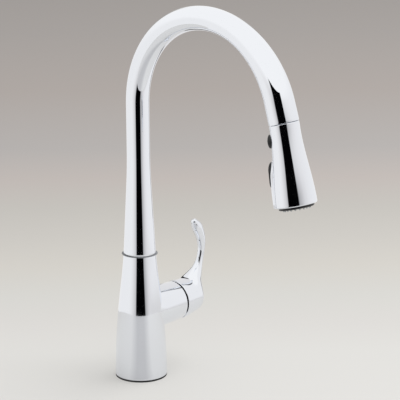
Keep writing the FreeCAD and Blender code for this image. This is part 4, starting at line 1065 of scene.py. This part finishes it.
# %% Cards
CARD_MEAN, CARD_SHIFT, CARD_HEIGHT = 0.44, 0.2, 0.54
GAP_STOPS = ((-180.0, "#0A0A0B"), (-173.0, "#0A0A0B"), (-171.0, "#F4F3F2"), (-60.0, "#F6F5F3"), (-46.0, "#EFEDEB"),
             (-33.0, "#DEDCDA"), (-23.0, "#C4C2C1"), (-20.5, "#030304"), (24.0, "#030304"), (27.5, "#B0AFAF"),
             (36.0, "#C6C4C3"), (47.0, "#E0DEDD"), (62.0, "#EFEDEC"), (80.0, "#F4F3F2"), (136.0, "#F6F5F4"),
             (139.0, "#4A4A4C"), (143.0, "#4A4A4C"), (146.0, "#EAE8E7"), (175.0, "#EAE8E7"), (177.0, "#0A0A0B"),
             (180.0, "#0A0A0B"))
WARM_WHITE = "#FFFEFC"
TOP_STOPS = ((-180.0, WARM_WHITE), (-21.0, WARM_WHITE), (-20.5, "#030304"), (24.0, "#030304"), (24.5, WARM_WHITE),
             (180.0, WARM_WHITE))
TOP_FROM, FOOT_TO, FOOT_SIDE, FOOT_SHADE = 0.6, 0.13, (30.0, 60.0), "#E0DEDC"

card_paint, tree, shader, place = start_material("white_and_black_card")
spread = node(tree, "ShaderNodeSeparateXYZ", {"Vector": place.outputs["UV"]})
# Towards their top the cards are white right up to the gap, so no edge shows where they end.
shades, top_shades = (node(tree, "ShaderNodeValToRGB", {"Fac": spread.outputs["X"]}) for _ in range(2))
for ramp, stops in ((shades, GAP_STOPS), (top_shades, TOP_STOPS)):
    set_stops(ramp.color_ramp, [(turn_share(at), hex_code) for at, hex_code in stops])
high = node(tree, "ShaderNodeMapRange", {"Value": spread.outputs["Y"], "From Min": TOP_FROM, "From Max": 1.0},
            interpolation_type="SMOOTHSTEP")
whole = node(tree, "ShaderNodeMix", {"Factor": high.outputs["Result"], "A": shades.outputs["Color"],
                                    "B": top_shades.outputs["Color"]}, data_type="RGBA")
# The right card is dimmer towards the floor, so the boss and the lever's hub shade off softly below.
low = node(tree, "ShaderNodeMapRange", {"Value": spread.outputs["Y"], "From Min": FOOT_TO, "From Max": 0.0},
           interpolation_type="SMOOTHSTEP")
beside = node(tree, "ShaderNodeMapRange", {"Value": spread.outputs["X"], "From Min": turn_share(FOOT_SIDE[0]),
                                          "From Max": turn_share(FOOT_SIDE[1])})
dim = node(tree, "ShaderNodeMath", {0: low.outputs["Result"], 1: beside.outputs["Result"]}, operation="MULTIPLY")
card_shade = node(tree, "ShaderNodeMix", {"Factor": dim.outputs["Value"], "A": whole.outputs["Result"],
                                         "B": colour(FOOT_SHADE)}, data_type="RGBA")
# The cards glow with this colour as painted light for lit white cards; the greyed stops near the black and the dimmer
# foot are painted shade.
feed(tree, shader, {"Base Color": colour("#000000"), "Specular IOR Level": 0.0, "Emission Strength": 1.0,
                    "Emission Color": card_shade.outputs["Result"]})
# Seen from above the cards close in behind the faucet: distance = mean + shift * cos a, a from the camera's side.
a = np.radians(np.linspace(-180.0, 180.0, 117))[:, None]
card_foot = (CARD_MEAN + CARD_SHIFT * np.cos(a)) * (np.cos(a) * TO_CAMERA + np.sin(a) * TO_RIGHT)
cards = stage_piece("studio_cards", np.stack([card_foot, card_foot + CARD_HEIGHT * UP]), card_paint)
cards.visible_camera = cards.visible_diffuse = cards.visible_shadow = False
print("cards from", CARD_MEAN - CARD_SHIFT, "to", CARD_MEAN + CARD_SHIFT, "m away")

# %% [markdown]
# ### World and lamp
#
# Above the cards the world is white, and it lights everything evenly. Behind the floor's far edge the camera sees
# the floor's colour go on instead, so no horizon shows. One large soft lamp, which neither the camera nor the
# chrome sees, gives the faint shadow on the floor.

# %% World and lamp
LAMP_PLACE, LAMP_SIZE, LAMP_WATTS = np.array((1.5, -0.8, 2.5)), 2.8, 85.0
# Past the floor's edge the camera sees the floor's painted distance shade go on.
WORLD_DISTANCE_SHADE = ((0.0, FLOOR_DISTANCE_SHADE[0][1]), (0.4, FLOOR_DISTANCE_SHADE[-1][1]))


def standing(axes, place):
    """The matrix of an object at a place, whose own three axes point along these directions."""
    return Matrix([(*row, at) for row, at in zip(np.stack(axes, 1), place)] + [(0, 0, 0, 1)])


world = bpy.data.worlds.new("white_surround")
bpy.context.scene.world = world
world.use_nodes = True
tree = world.node_tree
place, ray = node(tree, "ShaderNodeTexCoord"), node(tree, "ShaderNodeLightPath")
depth = node(tree, "ShaderNodeVectorMath", {0: place.outputs["Generated"], 1: tuple(-TO_CAMERA)},
             operation="DOT_PRODUCT")
far_side = node(tree, "ShaderNodeValToRGB", {"Fac": depth.outputs["Value"]})
set_stops(far_side.color_ramp, WORLD_DISTANCE_SHADE)
seen = node(tree, "ShaderNodeMix", {"Factor": ray.outputs["Is Camera Ray"], "A": colour(WARM_WHITE),
                                   "B": far_side.outputs["Color"]}, data_type="RGBA")
feed(tree, tree.nodes["Background"], {"Color": seen.outputs["Result"], "Strength": 1.0})

soft_box = bpy.data.lights.new("soft_box", "AREA")
soft_box.shape, soft_box.size, soft_box.size_y, soft_box.energy = "RECTANGLE", LAMP_SIZE, LAMP_SIZE, LAMP_WATTS
lamp = put("soft_box", soft_box)
forward = -LAMP_PLACE / np.linalg.norm(LAMP_PLACE)
side = np.cross(forward, UP) / np.linalg.norm(np.cross(forward, UP))
lamp.matrix_world = standing((side, np.cross(side, forward), -forward), LAMP_PLACE)
lamp.visible_camera = lamp.visible_glossy = False
print("lamp of", LAMP_WATTS, "W at", LAMP_PLACE)

# %% [markdown]
# ## The camera
#
# The camera stands where the photographer's did: 2.2 m away, a little above the lever and to the left of the
# spout, with a long lens. A small shift places the faucet in the frame as it was, without tilting its uprights.

# %% Camera
AZIMUTH, ELEVATION, ROLL = (math.radians(v) for v in (-45.639, 15.642, -0.486))
LOOK_AT, DISTANCE, SENSOR, LENS = np.array((0.0, -0.06, 0.2)), 2.2, 36.0, 187.33
SHIFT_X, SHIFT_Y, SEES_TO = 0.0526, 0.0223, 60.0
back = np.array((math.sin(AZIMUTH) * math.cos(ELEVATION), -math.cos(AZIMUTH) * math.cos(ELEVATION),
                 math.sin(ELEVATION)))
level = np.array((math.cos(AZIMUTH), math.sin(AZIMUTH), 0.0))
upright = np.cross(back, level)
right = math.cos(ROLL) * level + math.sin(ROLL) * upright
top = -math.sin(ROLL) * level + math.cos(ROLL) * upright
eye = LOOK_AT + DISTANCE * back
view = bpy.data.cameras.new("studio_camera")
view.sensor_width, view.sensor_fit, view.lens = SENSOR, "HORIZONTAL", LENS
view.shift_x, view.shift_y, view.clip_end = SHIFT_X, SHIFT_Y, SEES_TO
camera = put("studio_camera", view)
camera.matrix_world = standing((right, top, back), eye)
bpy.context.scene.camera = camera
bpy.context.scene.view_settings.view_transform = "Standard"
print("camera at", eye.round(3))
